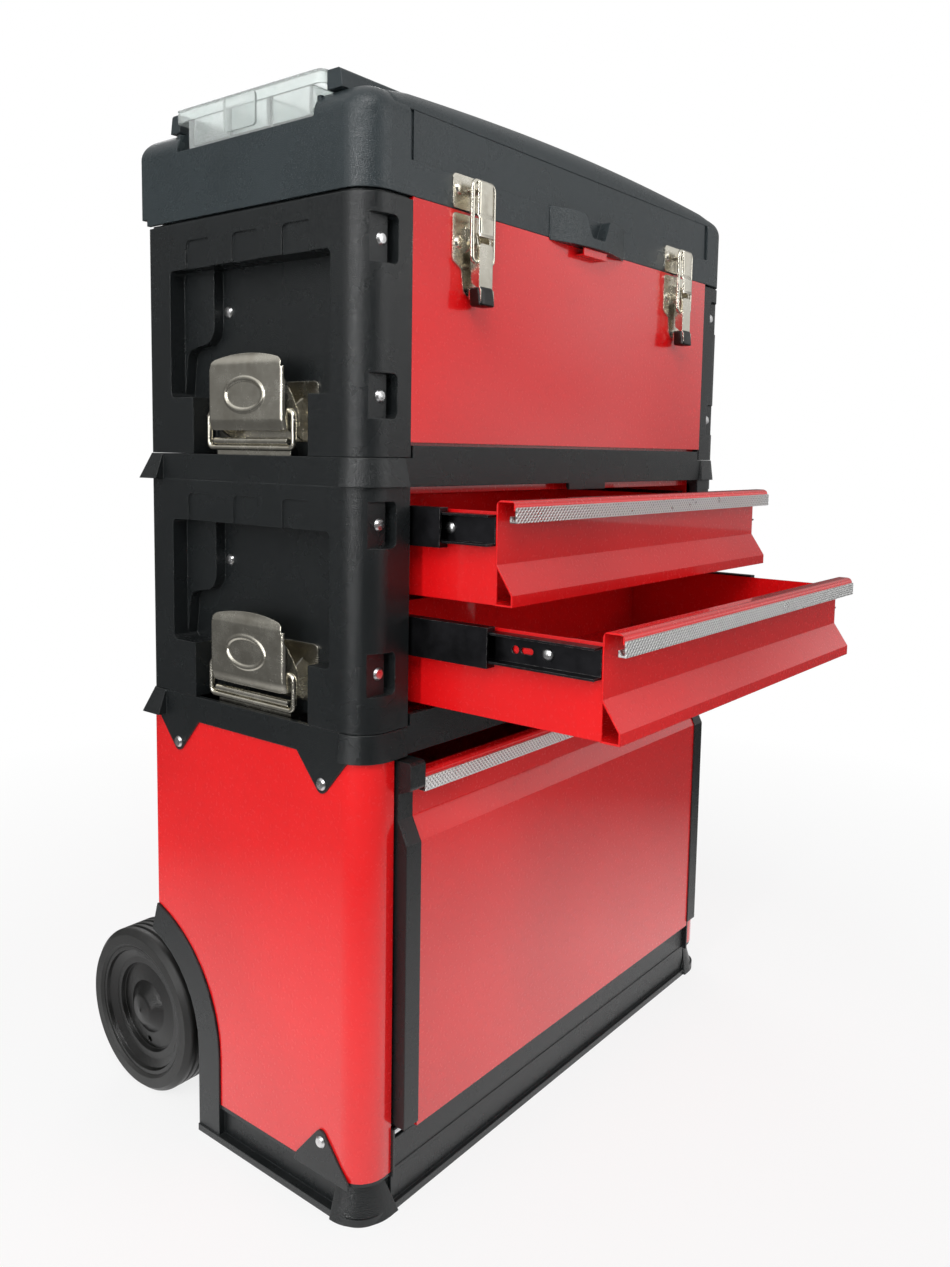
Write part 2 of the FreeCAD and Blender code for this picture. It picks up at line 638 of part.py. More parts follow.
def make_base_tray():
    """Black base moulding: tray, lip, wheel arches, axle beam and flared front corners."""
    body = new_body("base_tray")

    def tray_outline(out, rear):
        return [(-out, rear), (-out, front - out + half, corner_round),
                (out, front - out + half, corner_round), (out, rear)]

    lip_out = base_out + base_inset + 1
    pad(body, "plan", 0, base_lip, tray_outline(lip_out, arch_front))
    pad(body, "plan", base_lip, base_height - base_ledge, tray_outline(base_out, arch_front))
    pad(body, "plan", base_height - base_ledge, base_height, tray_outline(panel_out, arch_front))
    pad(body, "plan", 0, base_height, box(-well_half, arch_front, well_half, back))
    inner = base_out - plastic
    well = well_half - plastic
    pocket(body, "plan", plastic, base_height,
           [(-inner, arch_front - plastic), (-inner, front + base_inset + plastic, corner_round),
            (inner, front + base_inset + plastic, corner_round), (inner, arch_front - plastic),
            (well, arch_front - plastic), (well, back - plastic), (-well, back - plastic),
            (-well, arch_front - plastic)])
    door_wall = door_half + trim_width
    wall_front = hinge_y - plastic / 2
    pad(body, "front", wall_front, wall_front + plastic,
        box(-door_wall, plastic, door_wall, front_wall_top))
    for side in (-1, 1):
        start = flare_start - base_inset
        corner_in = corner_outline(side, -1, start, corner_reach + start, corner_block, corner_round)
        corner_out = corner_outline(side, -1, base_flare - base_inset, corner_reach + base_flare
                                    - base_inset, corner_block, corner_round + base_flare)
        loft(body, "plan", 0, corner_out, base_height - base_ledge, corner_in)
        post = span(side, door_wall + rest_gap, panel_edge)
        pad(body, "side", *post, box(hinge_y - 5, base_height - base_ledge, hinge_y + 8, hinge_z + 5))
        pocket(body, "side", *post, ("circle", hinge_y, hinge_z, rod_radius))
        make_arch(body, side)
    rear_wall = back + steel
    beam_back = axle_y + beam_reach
    beam = [(back - plastic, 0), (rear_wall + plastic * 3, 0), (beam_back, beam_top / 2),
            (beam_back, beam_top), (rear_wall, beam_top), (rear_wall, base_height),
            (back - plastic, base_height)]
    pad(body, "side", -well_half, well_half, beam)
    hollow = [(rear_wall + plastic, -1), (rear_wall + plastic * 2, -1),
              (beam_back - plastic, beam_top / 2 + 1), (beam_back - plastic, beam_top - plastic),
              (rear_wall + plastic, beam_top - plastic)]
    pocket(body, "side", -(well_half - plastic), well_half - plastic, hollow)
    pocket(body, "side", -well_half - 1, well_half + 1, ("circle", axle_y, wheel_radius, axle_radius))
    for side in (-1, 1):
        pad(body, "side", *span(side, panel_out, panel_out + plastic / 2),
            [(foot_tab_y - foot_tab_half, base_height - base_ledge - 1),
             (foot_tab_y + foot_tab_half, base_height - base_ledge - 1),
             (foot_tab_y + foot_tab_half, base_height), (foot_tab_y, base_height + foot_tab_rise, 5),
             (foot_tab_y - foot_tab_half, base_height)])
    return body


def arch_point(radius, y):
    """Height of a circle about the axle at this y."""
    return wheel_radius + root(radius * radius - (axle_y - y) * (axle_y - y))


def arch_outline(outer, inner, low, top_y):
    """Band that follows the wheel arch: an arc about the axle, then straight down."""
    steps = 8
    top_outer = math.acos(float(axle_y - top_y) / float(outer))
    corners = []
    for step in range(steps + 1):
        angle = top_outer * (1 - step / steps)
        corners.append((axle_y - outer * math.cos(angle), wheel_radius + outer * math.sin(angle)))
    corners.append((axle_y - outer, low))
    corners.append((axle_y - inner, low))
    for step in range(steps + 1):
        angle = top_outer * step / steps
        corners.append((axle_y - inner * math.cos(angle), wheel_radius + inner * math.sin(angle)))
    return corners


def make_arch(body, side):
    """Trim band, liner and inner wall of one wheel well."""
    face = span(side, panel_in - plastic, panel_out + panel_inset)
    pad(body, "side", *face, arch_outline(panel_arch, arch_radius, 0, back))
    liner = span(side, well_half, panel_in - plastic)
    pad(body, "side", *liner, arch_outline(arch_radius + plastic, arch_radius, base_height - 1, back))
    inner_wall = span(side, well_half - plastic, well_half)
    rear = back - steel
    top_z = arch_point(arch_radius + plastic, rear)
    pad(body, "side", *inner_wall,
        [(arch_front - plastic, base_height - plastic), (rear, base_height - plastic), (rear, top_z),
         (axle_y - arch_radius * 0.75, arch_point(arch_radius + plastic, axle_y - arch_radius * 0.75)),
         (arch_front - plastic, wheel_radius)])


def make_side_panel(side):
    """Red side panel: wraps round the front corner and is cut out for the wheel."""
    body = new_body("side_panel_" + side_name(side))
    face = front + panel_inset / 3
    outline = [(panel_out, back - steel), (panel_out, face, corner_round), (panel_edge, face),
               (panel_edge, face + panel_flange), (panel_edge + steel, face + panel_flange),
               (panel_edge + steel, face + steel), (panel_in, face + steel, corner_round - steel),
               (panel_in, back - steel)]
    pad(body, "plan", base_height, collar_low, flip(side, outline))
    wide = span(side, panel_in - 5, panel_out + 5)
    reach = panel_arch + rest_gap
    pocket(body, "side", *wide, ("circle", axle_y, wheel_radius, reach))
    pocket(body, "side", *wide, box(axle_y - reach, base_height - 1, back + 1, wheel_radius))
    return body


def make_back_panel():
    """Red back panel, narrow between the wheels."""
    body = new_body("back_panel")
    low = arch_point(panel_arch, back) + rest_gap
    corners = [(-well_half, base_height), (well_half, base_height), (well_half, low),
               (panel_out, low), (panel_out, collar_low), (-panel_out, collar_low),
               (-panel_out, low), (-well_half, low)]
    pad(body, "front", back - steel, back, corners)
    return body


# Collars
def make_collar(label, low):
    """Black collar: deck, wall, raised front rim and flared corner blocks."""
    body = new_body(label)
    high = low + collar_height
    pad(body, "plan", low, high,
        [(-half, front, corner_round), (half, front, corner_round), (half, back, rear_round),
         (-half, back, rear_round)])
    inner = half - collar_wall
    turn = corner_round - collar_wall
    pocket(body, "plan", low + deck, high,
           [(-inner, front + collar_wall, turn), (inner, front + collar_wall, turn),
            (inner, back - collar_wall), (-inner, back - collar_wall)])
    pad(body, "front", front, front + collar_wall, box(-rim_half, low + deck, rim_half, high + rim_height))
    for side in (-1, 1):
        for end, out, length, turn in ((-1, flare_out_front, flare_front, corner_round),
                                       (1, flare_out_rear, flare_rear, rear_round)):
            narrow = corner_outline(side, end, flare_start, flare_across + flare_start, length, turn)
            wide = corner_outline(side, end, out, flare_across + out, length, turn + out / 2 * (1 - end))
            loft(body, "plan", low, wide, high, narrow)
    return body


def make_middle_collar():
    """Collar of the drawer unit, with a small bracket under its front."""
    body = make_collar("middle_collar", middle_high)
    low = middle_high - plastic
    pad(body, "side", bracket_x - bracket_half, bracket_x + bracket_half,
        [(front, middle_high + 1), (front, low - 2), (front + steel, low - 2), (front + plastic, low),
         (front + plastic, middle_high + 1)])
    return body


def make_lower_collar():
    """Collar of the base unit, with tabs on the side panels and sleeves for the tubes."""
    body = make_collar("lower_collar", collar_low)
    for side in (-1, 1):
        tab = span(side, panel_out, panel_out + plastic / 2)
        for middle in (tab_rear, tab_front):
            pad(body, "side", *tab, [(middle - tab_half, collar_low + 1), (middle, collar_low - tab_drop, 5),
                                     (middle + tab_half, collar_low + 1)])
        centre = side * tube_half_gap
        reach = tube_radius + sleeve_wall
        pad(body, "plan", collar_low, collar_low + collar_height,
            box(centre - reach, back - 1, centre + reach, tube_y + reach, 4))
        pocket(body, "plan", collar_low, collar_low + collar_height,
               ("circle", centre, tube_y, tube_radius))
    return body


# Strikes and rivets
def add_strikes(body, low):
    """Strips with a rolled lip on a collar's sides, over the bails of the unit above."""
    for side in (-1, 1):
        unit = low + collar_height + rest_gap
        wire_in = half - bail_depth - bail_radius
        plate_out = wire_in - rest_gap
        bead_z = unit + bail_low + bail_radius + rest_gap + strike_bead
        ends = (latch_y - strike_half, latch_y + strike_half)
        pad(body, "side", *span(side, plate_out - latch_plate, plate_out),
            box(ends[0], bead_z - strike_root, ends[1], bead_z))
        bead_x = side * (plate_out - latch_plate + strike_bead)
        pad(body, "front", *ends, ("circle", bead_x, bead_z, strike_bead))


def make_lower_strikes():
    """Strikes on the lower collar."""
    body = new_body("lower_strikes")
    add_strikes(body, collar_low)
    return body


def make_lower_rivets():
    """Rivets of the collar tabs and the base tabs."""
    body = new_body("lower_rivets")
    for side in (-1, 1):
        for middle in (tab_rear, tab_front):
            side_rivet(body, side, panel_out + plastic / 2, middle, collar_low - tab_drop * 0.68)
        side_rivet(body, side, panel_out + plastic / 2, foot_tab_y, base_height + foot_tab_rise * 0.65)
    return body


def make_unit_rivets(label, low):
    """Rivets in the grip recesses and the corner pockets of one unit."""
    body = new_body(label)
    for side in (-1, 1):
        side_rivet(body, side, half - recess_depth, ledge_front - rivet_radius - 1.5, low + 97.3)
        for middle in (high_pocket, low_pocket):
            front_rivet(body, front + pocket_depth, side * (half - pocket_rivet), low + middle)
    return body


# Wheels
def make_axle():
    """Steel axle through the beam and both wheels."""
    body = new_body("wheel_axle")
    end = wheel_out - dish_depth
    pad(body, "side", -end, end, ("circle", axle_y, wheel_radius, axle_radius))
    return body


def make_wheel_disc(side):
    """Black wheel disc: rim, dished web with a stepped ring, domed hub."""
    body = new_body("wheel_disc_" + side_name(side))
    bore = axle_radius + fit_gap
    hub_in = wheel_in + 2
    web_out = wheel_out - dish_depth
    web_in = web_out - disc_web
    outline = [(hub_in, bore), (wheel_out - dish_depth + rest_gap, bore),
               (wheel_out - dish_depth + rest_gap, 0), (wheel_out - 1, 0),
               (wheel_out - 3, hub_radius * 0.62, 8), (web_out + 2, hub_radius, 3),
               (web_out, hub_radius + 3), (web_out - 2, rim_radius * 0.68),
               (web_out + 1.5, rim_radius * 0.7), (web_out + 1.5, rim_radius * 0.8),
               (web_out + 4, rim_radius - 4), (wheel_out - 2, rim_radius - 3),
               (wheel_out - 2, rim_radius), (wheel_in + 2, rim_radius),
               (wheel_in + 2, rim_radius - 4), (web_in, rim_radius - 5),
               (web_in, hub_radius), (hub_in, hub_radius)]
    revolve(body, "front", axle_y, (0, wheel_radius), flip(side, outline), "H_Axis")
    hole = span(side, web_in - 3, web_out + 3)
    pocket(body, "side", *hole, ("circle", axle_y, wheel_radius - rim_radius * 0.55, 2.5))
    return body


def make_tyre(side):
    """Rubber tyre with grooves round its tread."""
    body = new_body("tyre_" + side_name(side))
    outline = [(wheel_in, rim_radius + 2), (wheel_in + 2, rim_radius), (wheel_out - 2, rim_radius),
               (wheel_out, rim_radius + 2), (wheel_out, wheel_radius - 4),
               (wheel_out - 4, wheel_radius, 3)]
    grooves = 4
    pitch = (wheel_width - 12) / grooves
    for index in range(grooves):
        centre = wheel_out - 6 - pitch * (index + 0.5)
        outline += [(centre + 1.4, wheel_radius), (centre + 0.8, wheel_radius - rib_depth),
                    (centre - 0.8, wheel_radius - rib_depth), (centre - 1.4, wheel_radius)]
    outline += [(wheel_in + 4, wheel_radius, 3), (wheel_in, wheel_radius - 4)]
    revolve(body, "front", axle_y, (0, wheel_radius), flip(side, outline), "H_Axis")
    return body


# Telescopic handle
def make_handle_tubes(label, low, high, outer):
    """A pair of upright steel tubes behind the boxes."""
    body = new_body(label)
    rings = []
    for side in (-1, 1):
        rings.append(("circle", side * tube_half_gap, tube_y, outer))
        rings.append(("circle", side * tube_half_gap, tube_y, outer - tube_wall))
    pad(body, "plan", low, high, *rings)
    return body


def make_handle_grip():
    """Moulded grip across the inner tubes, with a well for the release button."""
    body = new_body("handle_grip")
    reach = tube_half_gap + tube_radius + 4
    middle = grip_low + grip_height / 2
    rise = grip_height / 2
    pad(body, "side", -reach, reach,
        box(tube_y - grip_depth / 2, middle - rise, tube_y + grip_depth / 2, middle + rise,
            grip_depth / 2 - 3))
    top = grip_low + grip_height
    pocket(body, "plan", top - button_rise * 3, top + 1,
           box(-button_half, tube_y - button_width / 2, button_half, tube_y + button_width / 2, 5))
    for side in (-1, 1):
        pocket(body, "plan", grip_low, grip_low + 12,
               ("circle", side * tube_half_gap, tube_y, inner_radius))
    return body


def make_handle_button():
    """Release button in the top of the grip."""
    body = new_body("handle_button")
    top = grip_low + grip_height
    gap = rest_gap
    pad(body, "plan", top - button_rise * 2 + gap, top + button_rise / 2,
        box(-button_half + gap, tube_y - button_width / 2 + gap, button_half - gap,
            tube_y + button_width / 2 - gap, 4.7))
    return body


# Tilt-out bin
def make_bin_rod():
    """Steel hinge rod under the door."""
    body = new_body("bin_rod")
    end = panel_edge - fit_gap
    pad(body, "side", -end, end, ("circle", hinge_y, hinge_z, rod_radius))
    return body


def make_bin_tub():
    """Black tub behind the door, with the hinge bead along its foot."""
    body = new_body("bin_tub")
    face = front + steel
    floor = door_low + 2
    rear = face + tub_depth
    outer = [(face, floor), (rear, floor, 10), (rear + 4, tub_side_top, 10),
             (rear - 26, tub_back_top, 10), (face + 25, tub_back_top + 14), (face, tub_front_top)]
    pad(body, "side", -tub_half, tub_half, outer)
    inner = [(face + plastic, floor + plastic), (rear - plastic, floor + plastic, 7),
             (rear + 4 - plastic, tub_side_top, 7), (rear - 26, tub_back_top + 40),
             (face + plastic, tub_front_top + 20)]
    pocket(body, "side", -(tub_half - plastic), tub_half - plastic, inner)
    pad(body, "side", -tub_half, tub_half, ("circle", hinge_y, hinge_z, hinge_radius))
    pocket(body, "side", -tub_half, tub_half, ("circle", hinge_y, hinge_z, rod_radius + fit_gap))
    return body


def door_profile(grow):
    """Front line of the door from its bottom to its rolled top, moved forward by grow."""
    top = collar_low - door_drop
    crease = collar_low - door_crease
    proud = front - door_proud
    return [(proud - grow, door_low), (proud - grow, crease - crease_fall), (front - grow, crease),
            (front - grow, top)]


def make_door_panel():
    """Red door: proud lower panel, recessed band, top rolled forward."""
    body = new_body("door_panel")
    bottom, low_crease, high_crease, top = door_profile(0)
    roll = front - roll_reach
    fall = top[1] - strip_height / 2
    hem = hinge_y - hinge_radius - rest_gap
    outline = [bottom, low_crease, high_crease, (front, top[1] - steel), (roll + steel, top[1] - steel),
               (roll + steel, fall), (roll, fall), (roll, top[1], 3), (front + steel, top[1], 3),
               (front + steel, high_crease[1] - steel / 4),
               (low_crease[0] + steel, low_crease[1] - steel / 4), (bottom[0] + steel, door_low + steel),
               (hem, door_low + steel), (hem, door_low)]
    pad(body, "side", -door_half, door_half, outline)
    return body


def make_door_strip():
    """Aluminium handle strip over the door's rolled edge."""
    body = new_body("door_strip")
    top = collar_low - door_drop
    add_strip(body, front - roll_reach, top, door_half - 1)
    return body


def add_strip(body, edge, top, reach):
    """J-shaped aluminium strip that grips a rolled edge."""
    thick = steel
    low = top - strip_height - 4
    outline = [(edge - thick, top - 4), (edge - thick, low), (edge + 4, low), (edge + 4, low + 4),
               (edge + 4 - thick, low + 4), (edge + 4 - thick, low + thick), (edge, low + thick),
               (edge, top - 4)]
    pad(body, "side", -reach, reach, outline)


def make_door_trims():
    """Black end trims that follow the door's profile."""
    body = new_body("door_trims")
    bottom, low_crease, high_crease, top = door_profile(steel)
    inner = front + steel * 2
    block = collar_low - 2
    outline = [(bottom[0], door_low + 4), low_crease, high_crease, (high_crease[0], block - 22),
               (front - roll_reach - 2, block - 18, 3), (front - roll_reach - 2, block, 3),
               (inner, block), (inner, door_low + 4)]
    for side in (-1, 1):
        pad(body, "side", *span(side, door_half, door_half + trim_width), outline)
    return body


# Drawer unit
def make_middle_shell():
    """Red steel box of the drawer unit, open at the front, with its rails."""
    body = new_body("middle_shell")
    low = middle_low + shell_floor
    face = front + shell_setback
    rear = back - drawer_back_gap
    pad(body, "side", -box_half, box_half, box(face, low, rear, middle_high))
    pocket(body, "front", face, rear - steel,
           box(-shell_half, low + steel, shell_half, middle_high - steel))
    pad(body, "front", face, face + steel,
        box(-shell_half, low - rail_drop, shell_half, low + steel),
        box(-shell_half, middle_high - rail_lip, shell_half, middle_high - steel / 2))
    return body


def drawer_levels(unit_top):
    """Top and centre line of the slide of one drawer."""
    top = middle_low + unit_top
    return top, top - slide_drop


def make_drawer(name, unit_top, out):
    """Red drawer: one bent sheet with a creased front whose top rolls forward."""
    body = new_body(name + "_drawer")
    top, slide = drawer_levels(unit_top)
    face = front + drawer_setback - out
    low = top - drawer_height
    lip = face - lip_reach
    hook = face - hook_reach
    inner = face + steel
    floor = low + 2
    outline = [(lip, low), (lip, top - front_lip), (face, top - front_crease), (face, top - steel),
               (hook + steel, top - steel), (hook + steel, top - 6), (hook, top - 6), (hook, top, 4),
               (inner, top, 4), (inner, top - front_crease - steel / 4),
               (lip + steel, top - front_lip - steel / 4), (lip + steel, low + steel),
               (inner, low + steel), (inner, low)]
    pad(body, "side", -front_half, front_half, outline)
    rear = face + drawer_length
    side_top = top - side_drop
    pad(body, "side", -drawer_half, drawer_half,
        [(inner, low), (rear, low), (rear, side_top), (face, side_top), (face, top - front_crease),
         (inner, top - front_crease)])
    pocket(body, "plan", floor, side_top,
           box(-drawer_half + steel, inner, drawer_half - steel, rear - steel))
    return body


def make_drawer_strip(name, unit_top, out):
    """Aluminium handle strip of a drawer."""
    body = new_body(name + "_drawer_strip")
    top = drawer_levels(unit_top)[0]
    face = front + drawer_setback - out
    add_strip(body, face - hook_reach, top, front_half)
    return body


def race(side, near, far, height, web, open_out):
    """C-shaped slide section in a front view; the web lies on the near or the far side."""
    low_z, high_z = -height / 2, height / 2
    if open_out:
        corners = [(near, low_z), (far, low_z), (far, low_z + web), (near + web, low_z + web),
                   (near + web, high_z - web), (far, high_z - web), (far, high_z), (near, high_z)]
    else:
        corners = [(far, low_z), (far, high_z), (near, high_z), (near, high_z - web),
                   (far - web, high_z - web), (far - web, low_z + web), (near, low_z + web),
                   (near, low_z)]
    return flip(side, corners)


def lift(corners, rise):
    """Moves an outline up."""
    return [(corner[0], corner[1] + rise, *corner[2:]) for corner in corners]


def make_slide_outers():
    """Outer members of the four drawer slides, fixed inside the shell."""
    body = new_body("slide_outers")
    start = front + drawer_setback + 2
    for unit_top in (upper_top, lower_top):
        slide = drawer_levels(unit_top)[1]
        for side in (-1, 1):
            outline = race(side, shell_half - 9.5, shell_half, outer_race, race_web - 0.1, False)
            pad(body, "front", start, start + slide_length, lift(outline, slide))
    return body


def make_slide_middles(name, unit_top, out):
    """Middle slide members, which run at half the drawer's speed."""
    body = new_body(name + "_slide_middles")
    start = front + drawer_setback + 2 - out / 2
    slide = drawer_levels(unit_top)[1]
    flange = (middle_race - inner_race) / 2 - rest_gap
    for side in (-1, 1):
        near = drawer_half + race_web * 2 + rest_gap
        far = shell_half - race_web - rest_gap
        outline = [(far, -middle_race / 2), (far, middle_race / 2), (near, middle_race / 2),
                   (near, middle_race / 2 - flange), (far - race_web, middle_race / 2 - flange),
                   (far - race_web, -middle_race / 2 + flange), (near, -middle_race / 2 + flange),
                   (near, -middle_race / 2)]
        pad(body, "front", start, start + slide_length, lift(flip(side, outline), slide))
    return body


def make_slide_inners(name, unit_top, out):
    """Inner slide members on the drawer's sides, with their holes."""
    body = new_body(name + "_slide_inners")
    start = front + drawer_setback + 2 - out
    slide = drawer_levels(unit_top)[1]
    for side in (-1, 1):
        far = shell_half - race_web * 2 - rest_gap * 2
        outline = race(side, drawer_half, far, inner_race, race_web, True)
        pad(body, "front", start, start + slide_length, lift(outline, slide))
        web = span(side, drawer_half, drawer_half + race_web)
        pocket(body, "side", *web, ("circle", start + 60, slide, 2.6), ("circle", start + 118, slide, 2.6),
               box(start + 47, slide - 2, start + 56, slide + 2, 1.9))
    return body


# End caps
def make_cap(unit, side, low, high):
    """Black end cap: rounded corners, grip recess with the latch slot, corner pockets."""
    body = new_body(f"{unit}_cap_{side_name(side)}")
    pad(body, "plan", low, high,
        flip(side, [(box_half, front), (half, front, corner_round), (half, back, rear_round),
                    (box_half, back)]))
    recess = span(side, half - recess_depth, half + 1)
    recess_top = low + recess_high
    recess_foot = low + recess_low
    pocket(body, "side", *recess,
           [(slot_front, low - 1), (slot_rear, low - 1), (slot_rear, recess_foot),
            (recess_rear, recess_foot, recess_round), (recess_rear, recess_top, recess_round),
            (recess_front, recess_top, recess_round), (recess_front, recess_foot, recess_round),
            (slot_front, recess_foot)])
    floor = half - recess_depth
    turn = low + ledge_turn
    pad(body, "side", *span(side, floor - 1, floor + ledge_rise),
        [(ledge_front, recess_top + 1), (ledge_front, turn + 3, 12), (recess_rear - 4, turn - 2, 8),
         (recess_rear, recess_foot + 2), (recess_rear + 1, recess_foot + 2),
         (recess_rear + 1, recess_top + 1)])
    dents = []
    for step in (-1, 0, 1):
        middle = latch_y + dent_pitch * step
        dents.append([(middle - dent_half, recess_top - 0.5), (middle + dent_half, recess_top - 0.5),
                      (middle + dent_half, low + dent_top, 4), (middle - dent_half, low + dent_top, 2)])
    pocket(body, "side", *span(side, half - dent_depth, half + 1), *dents)
    inside = span(side, box_half, half - recess_depth - plastic)
    pocket(body, "side", *inside,
           box(front + pocket_depth + plastic, low + plastic, back - plastic, high - plastic, 4))
    front_room = span(side, half - recess_depth - plastic, half - plastic)
    pocket(body, "side", *front_room,
           box(front + corner_round, low + plastic, recess_front - plastic, high - plastic))
    pocket(body, "side", *front_room,
           box(recess_rear + plastic, low + plastic, back - plastic, high - plastic))
    add_corner_pockets(body, side, low)
    if unit == "top":
        edge = box_half - 1
        pocket(body, "plan", high - rebate_height, high,
               flip(side, [(edge, front - 1), (half + 1, front - 1), (half + 1, back + 1),
                           (edge, back + 1), (edge, back - rebate), (half - rebate, back - rebate),
                           (half - rebate, front + rebate, corner_round - rebate),
                           (edge, front + rebate)]))
    return body


def add_corner_pockets(body, side, low):
    """Two pockets in the cap's front corner, each with a deeper slot at its inner end."""
    tabs = []
    slots = []
    backs = []
    near = half - pocket_reach - pocket_slot
    far = half - pocket_reach
    for middle, height in ((high_pocket, high_pocket_height), (low_pocket, low_pocket_height)):
        foot = low + middle - height / 2
        head = low + middle + height / 2
        tabs.append(flip(side, [(far - 1, foot), (half + 1, foot), (half + 1, head), (far - 1, head)]))
        slots.append(flip(side, [(near, foot, 4), (far, foot), (far, head), (near, head, 4)]))
        backs.append(flip(side, box(near - plastic, foot - plastic, far + plastic, head + plastic)))
    pad(body, "front", front + pocket_depth, front + slot_depth + plastic, *backs)
    pocket(body, "front", front, front + pocket_depth, *tabs)
    pocket(body, "front", front, front + slot_depth, *slots)


# Side latches
def add_latch_base(body, side, low):
    """Base plate on the recess floor, with ears that carry the lever's pins."""
    floor = half - recess_depth
    pad(body, "side", *span(side, floor, floor + latch_plate),
        box(latch_y - base_half, low + ear_drop, latch_y + base_half, low + ear_top, 4))
    pin_z = low + latch_pin
    pin_x = half - latch_pin_depth
    for end in (-1, 1):
        far = latch_half - latch_plate - ear_gap
        ear = span(end, far - ear_width, far)
        ear = (latch_y + ear[0], latch_y + ear[1])
        tip = pin_x + ear_radius
        outline = [(floor, low + ear_drop), (floor, low + ear_root), (tip, pin_z + ear_radius, 3),
                   (tip, pin_z - ear_radius, 3)]
        pad(body, "front", *ear, flip(side, outline))
        pocket(body, "front", *ear, ("circle", side * pin_x, pin_z, pin_radius + fit_gap))


def make_latch_bases():
    """Latch bases of the drawer unit and the strikes on its collar."""
    body = new_body("middle_latch_bases")
    for side in (-1, 1):
        add_latch_base(body, side, middle_low)
    add_strikes(body, middle_high)
    return body


def make_side_lever(unit, side, low):
    """Pressed lever: arched plate with a bent top, side flanges, pins and a raised oval ring."""
    body = new_body(f"{unit}_lever_{side_name(side)}")
    bottom = low + latch_low
    top = low + latch_high
    plate = [(latch_y - latch_half, bottom, 3), (latch_y + latch_half, bottom, 3),
             (latch_y + latch_half, top, 5), (latch_y, top + latch_arch * 2, 100),
             (latch_y - latch_half, top, 5)]
    pad(body, "side", *span(side, half - latch_plate, half), plate)
    pin_z = low + latch_pin
    pin_x = half - latch_pin_depth
    wire_x = half - bail_depth
    wire_z = low + bail_high
    flange_x = pin_x - ear_radius
    for end in (-1, 1):
        flange = span(end, latch_half - latch_plate, latch_half)
        flange = (latch_y + flange[0], latch_y + flange[1])
        pad(body, "front", *flange,
            flip(side, [(half - latch_plate, bottom), (flange_x, pin_z - 3, 2),
                        (flange_x, pin_z + 5, 3), (wire_x - 4, wire_z + 8, 4),
                        (half - latch_plate, top - 12)]))
        pocket(body, "front", *flange, ("circle", side * wire_x, wire_z, bail_radius + fit_gap))
        stub = span(end, latch_half - latch_plate - ear_gap * 2 - ear_width, latch_half - latch_plate)
        pad(body, "front", latch_y + stub[0], latch_y + stub[1],
            ("circle", side * pin_x, pin_z, pin_radius))
    ring_z = low + (latch_high + latch_low) / 2 + 1
    ring = span(side, half, half + ring_rise)
    pad(body, "side", *ring,
        box(latch_y - ring_half, ring_z - ring_high, latch_y + ring_half, ring_z + ring_high,
            ring_high - 0.5),
        box(latch_y - ring_half + 2, ring_z - ring_high + 2, latch_y + ring_half - 2,
            ring_z + ring_high - 2, ring_high - 2.5))
    return body


def make_side_bail(unit, side, low):
    """Wire bail from the lever's lugs down to the strike."""
    body = new_body(f"{unit}_bail_{side_name(side)}")
    depth = side * (half - bail_depth)
    high = low + bail_high
    foot = low + bail_low
    corners = box(latch_y - bail_half, foot, latch_y + bail_half, high, 4)
    wire_loop(body, "side", depth, corners, bail_radius, (latch_y + bail_half, (high + foot) / 2))
    return body


# Top unit
def make_top_shell():
    """Red steel box of the top unit, stepped back above the rim, with the hasp tab."""
    body = new_body("top_shell")
    low = top_low + shell_floor
    step = front + shell_step
    rise = top_low + shell_step_rise
    rear = back
    outer = [(front, rise), (step, rise), (step, low), (rear, low), (rear, top_high), (front, top_high)]
    pad(body, "side", -box_half, box_half, outer)
    inner = [(front + steel, rise + steel), (step + steel, rise + steel), (step + steel, low + steel),
             (rear - steel, low + steel), (rear - steel, top_high + 1), (front + steel, top_high + 1)]
    pocket(body, "side", -shell_half, shell_half, inner)
    foot = top_high - hasp_drop
    head = lid_low - lug_low - rest_gap
    face = front - hasp_out
    pad(body, "side", -hasp_half, hasp_half,
        [(front, foot), (face - steel, foot), (face - steel, head), (face, head), (face, foot + steel),
         (front, foot + steel)])
    for side in (-1, 1):
        for place in (70, 150):
            knuckle = span(side, place, place + knuckle_length / 2)
            pad(body, "side", *knuckle,
                [(back, lid_hinge_z - 9), (lid_hinge_y, lid_hinge_z - knuckle_radius),
                 (lid_hinge_y, lid_hinge_z), (back, lid_hinge_z)],)
            pad(body, "side", *knuckle, ("circle", lid_hinge_y, lid_hinge_z, knuckle_radius))
            pocket(body, "side", *knuckle, ("circle", lid_hinge_y, lid_hinge_z, hinge_pin_radius))
    return body


def make_lid_pin():
    """Hinge pin of the lid."""
    body = new_body("lid_hinge_pin")
    end = 150 + knuckle_length / 2
    pad(body, "side", -end, end, ("circle", lid_hinge_y, lid_hinge_z, hinge_pin_radius))
    return body


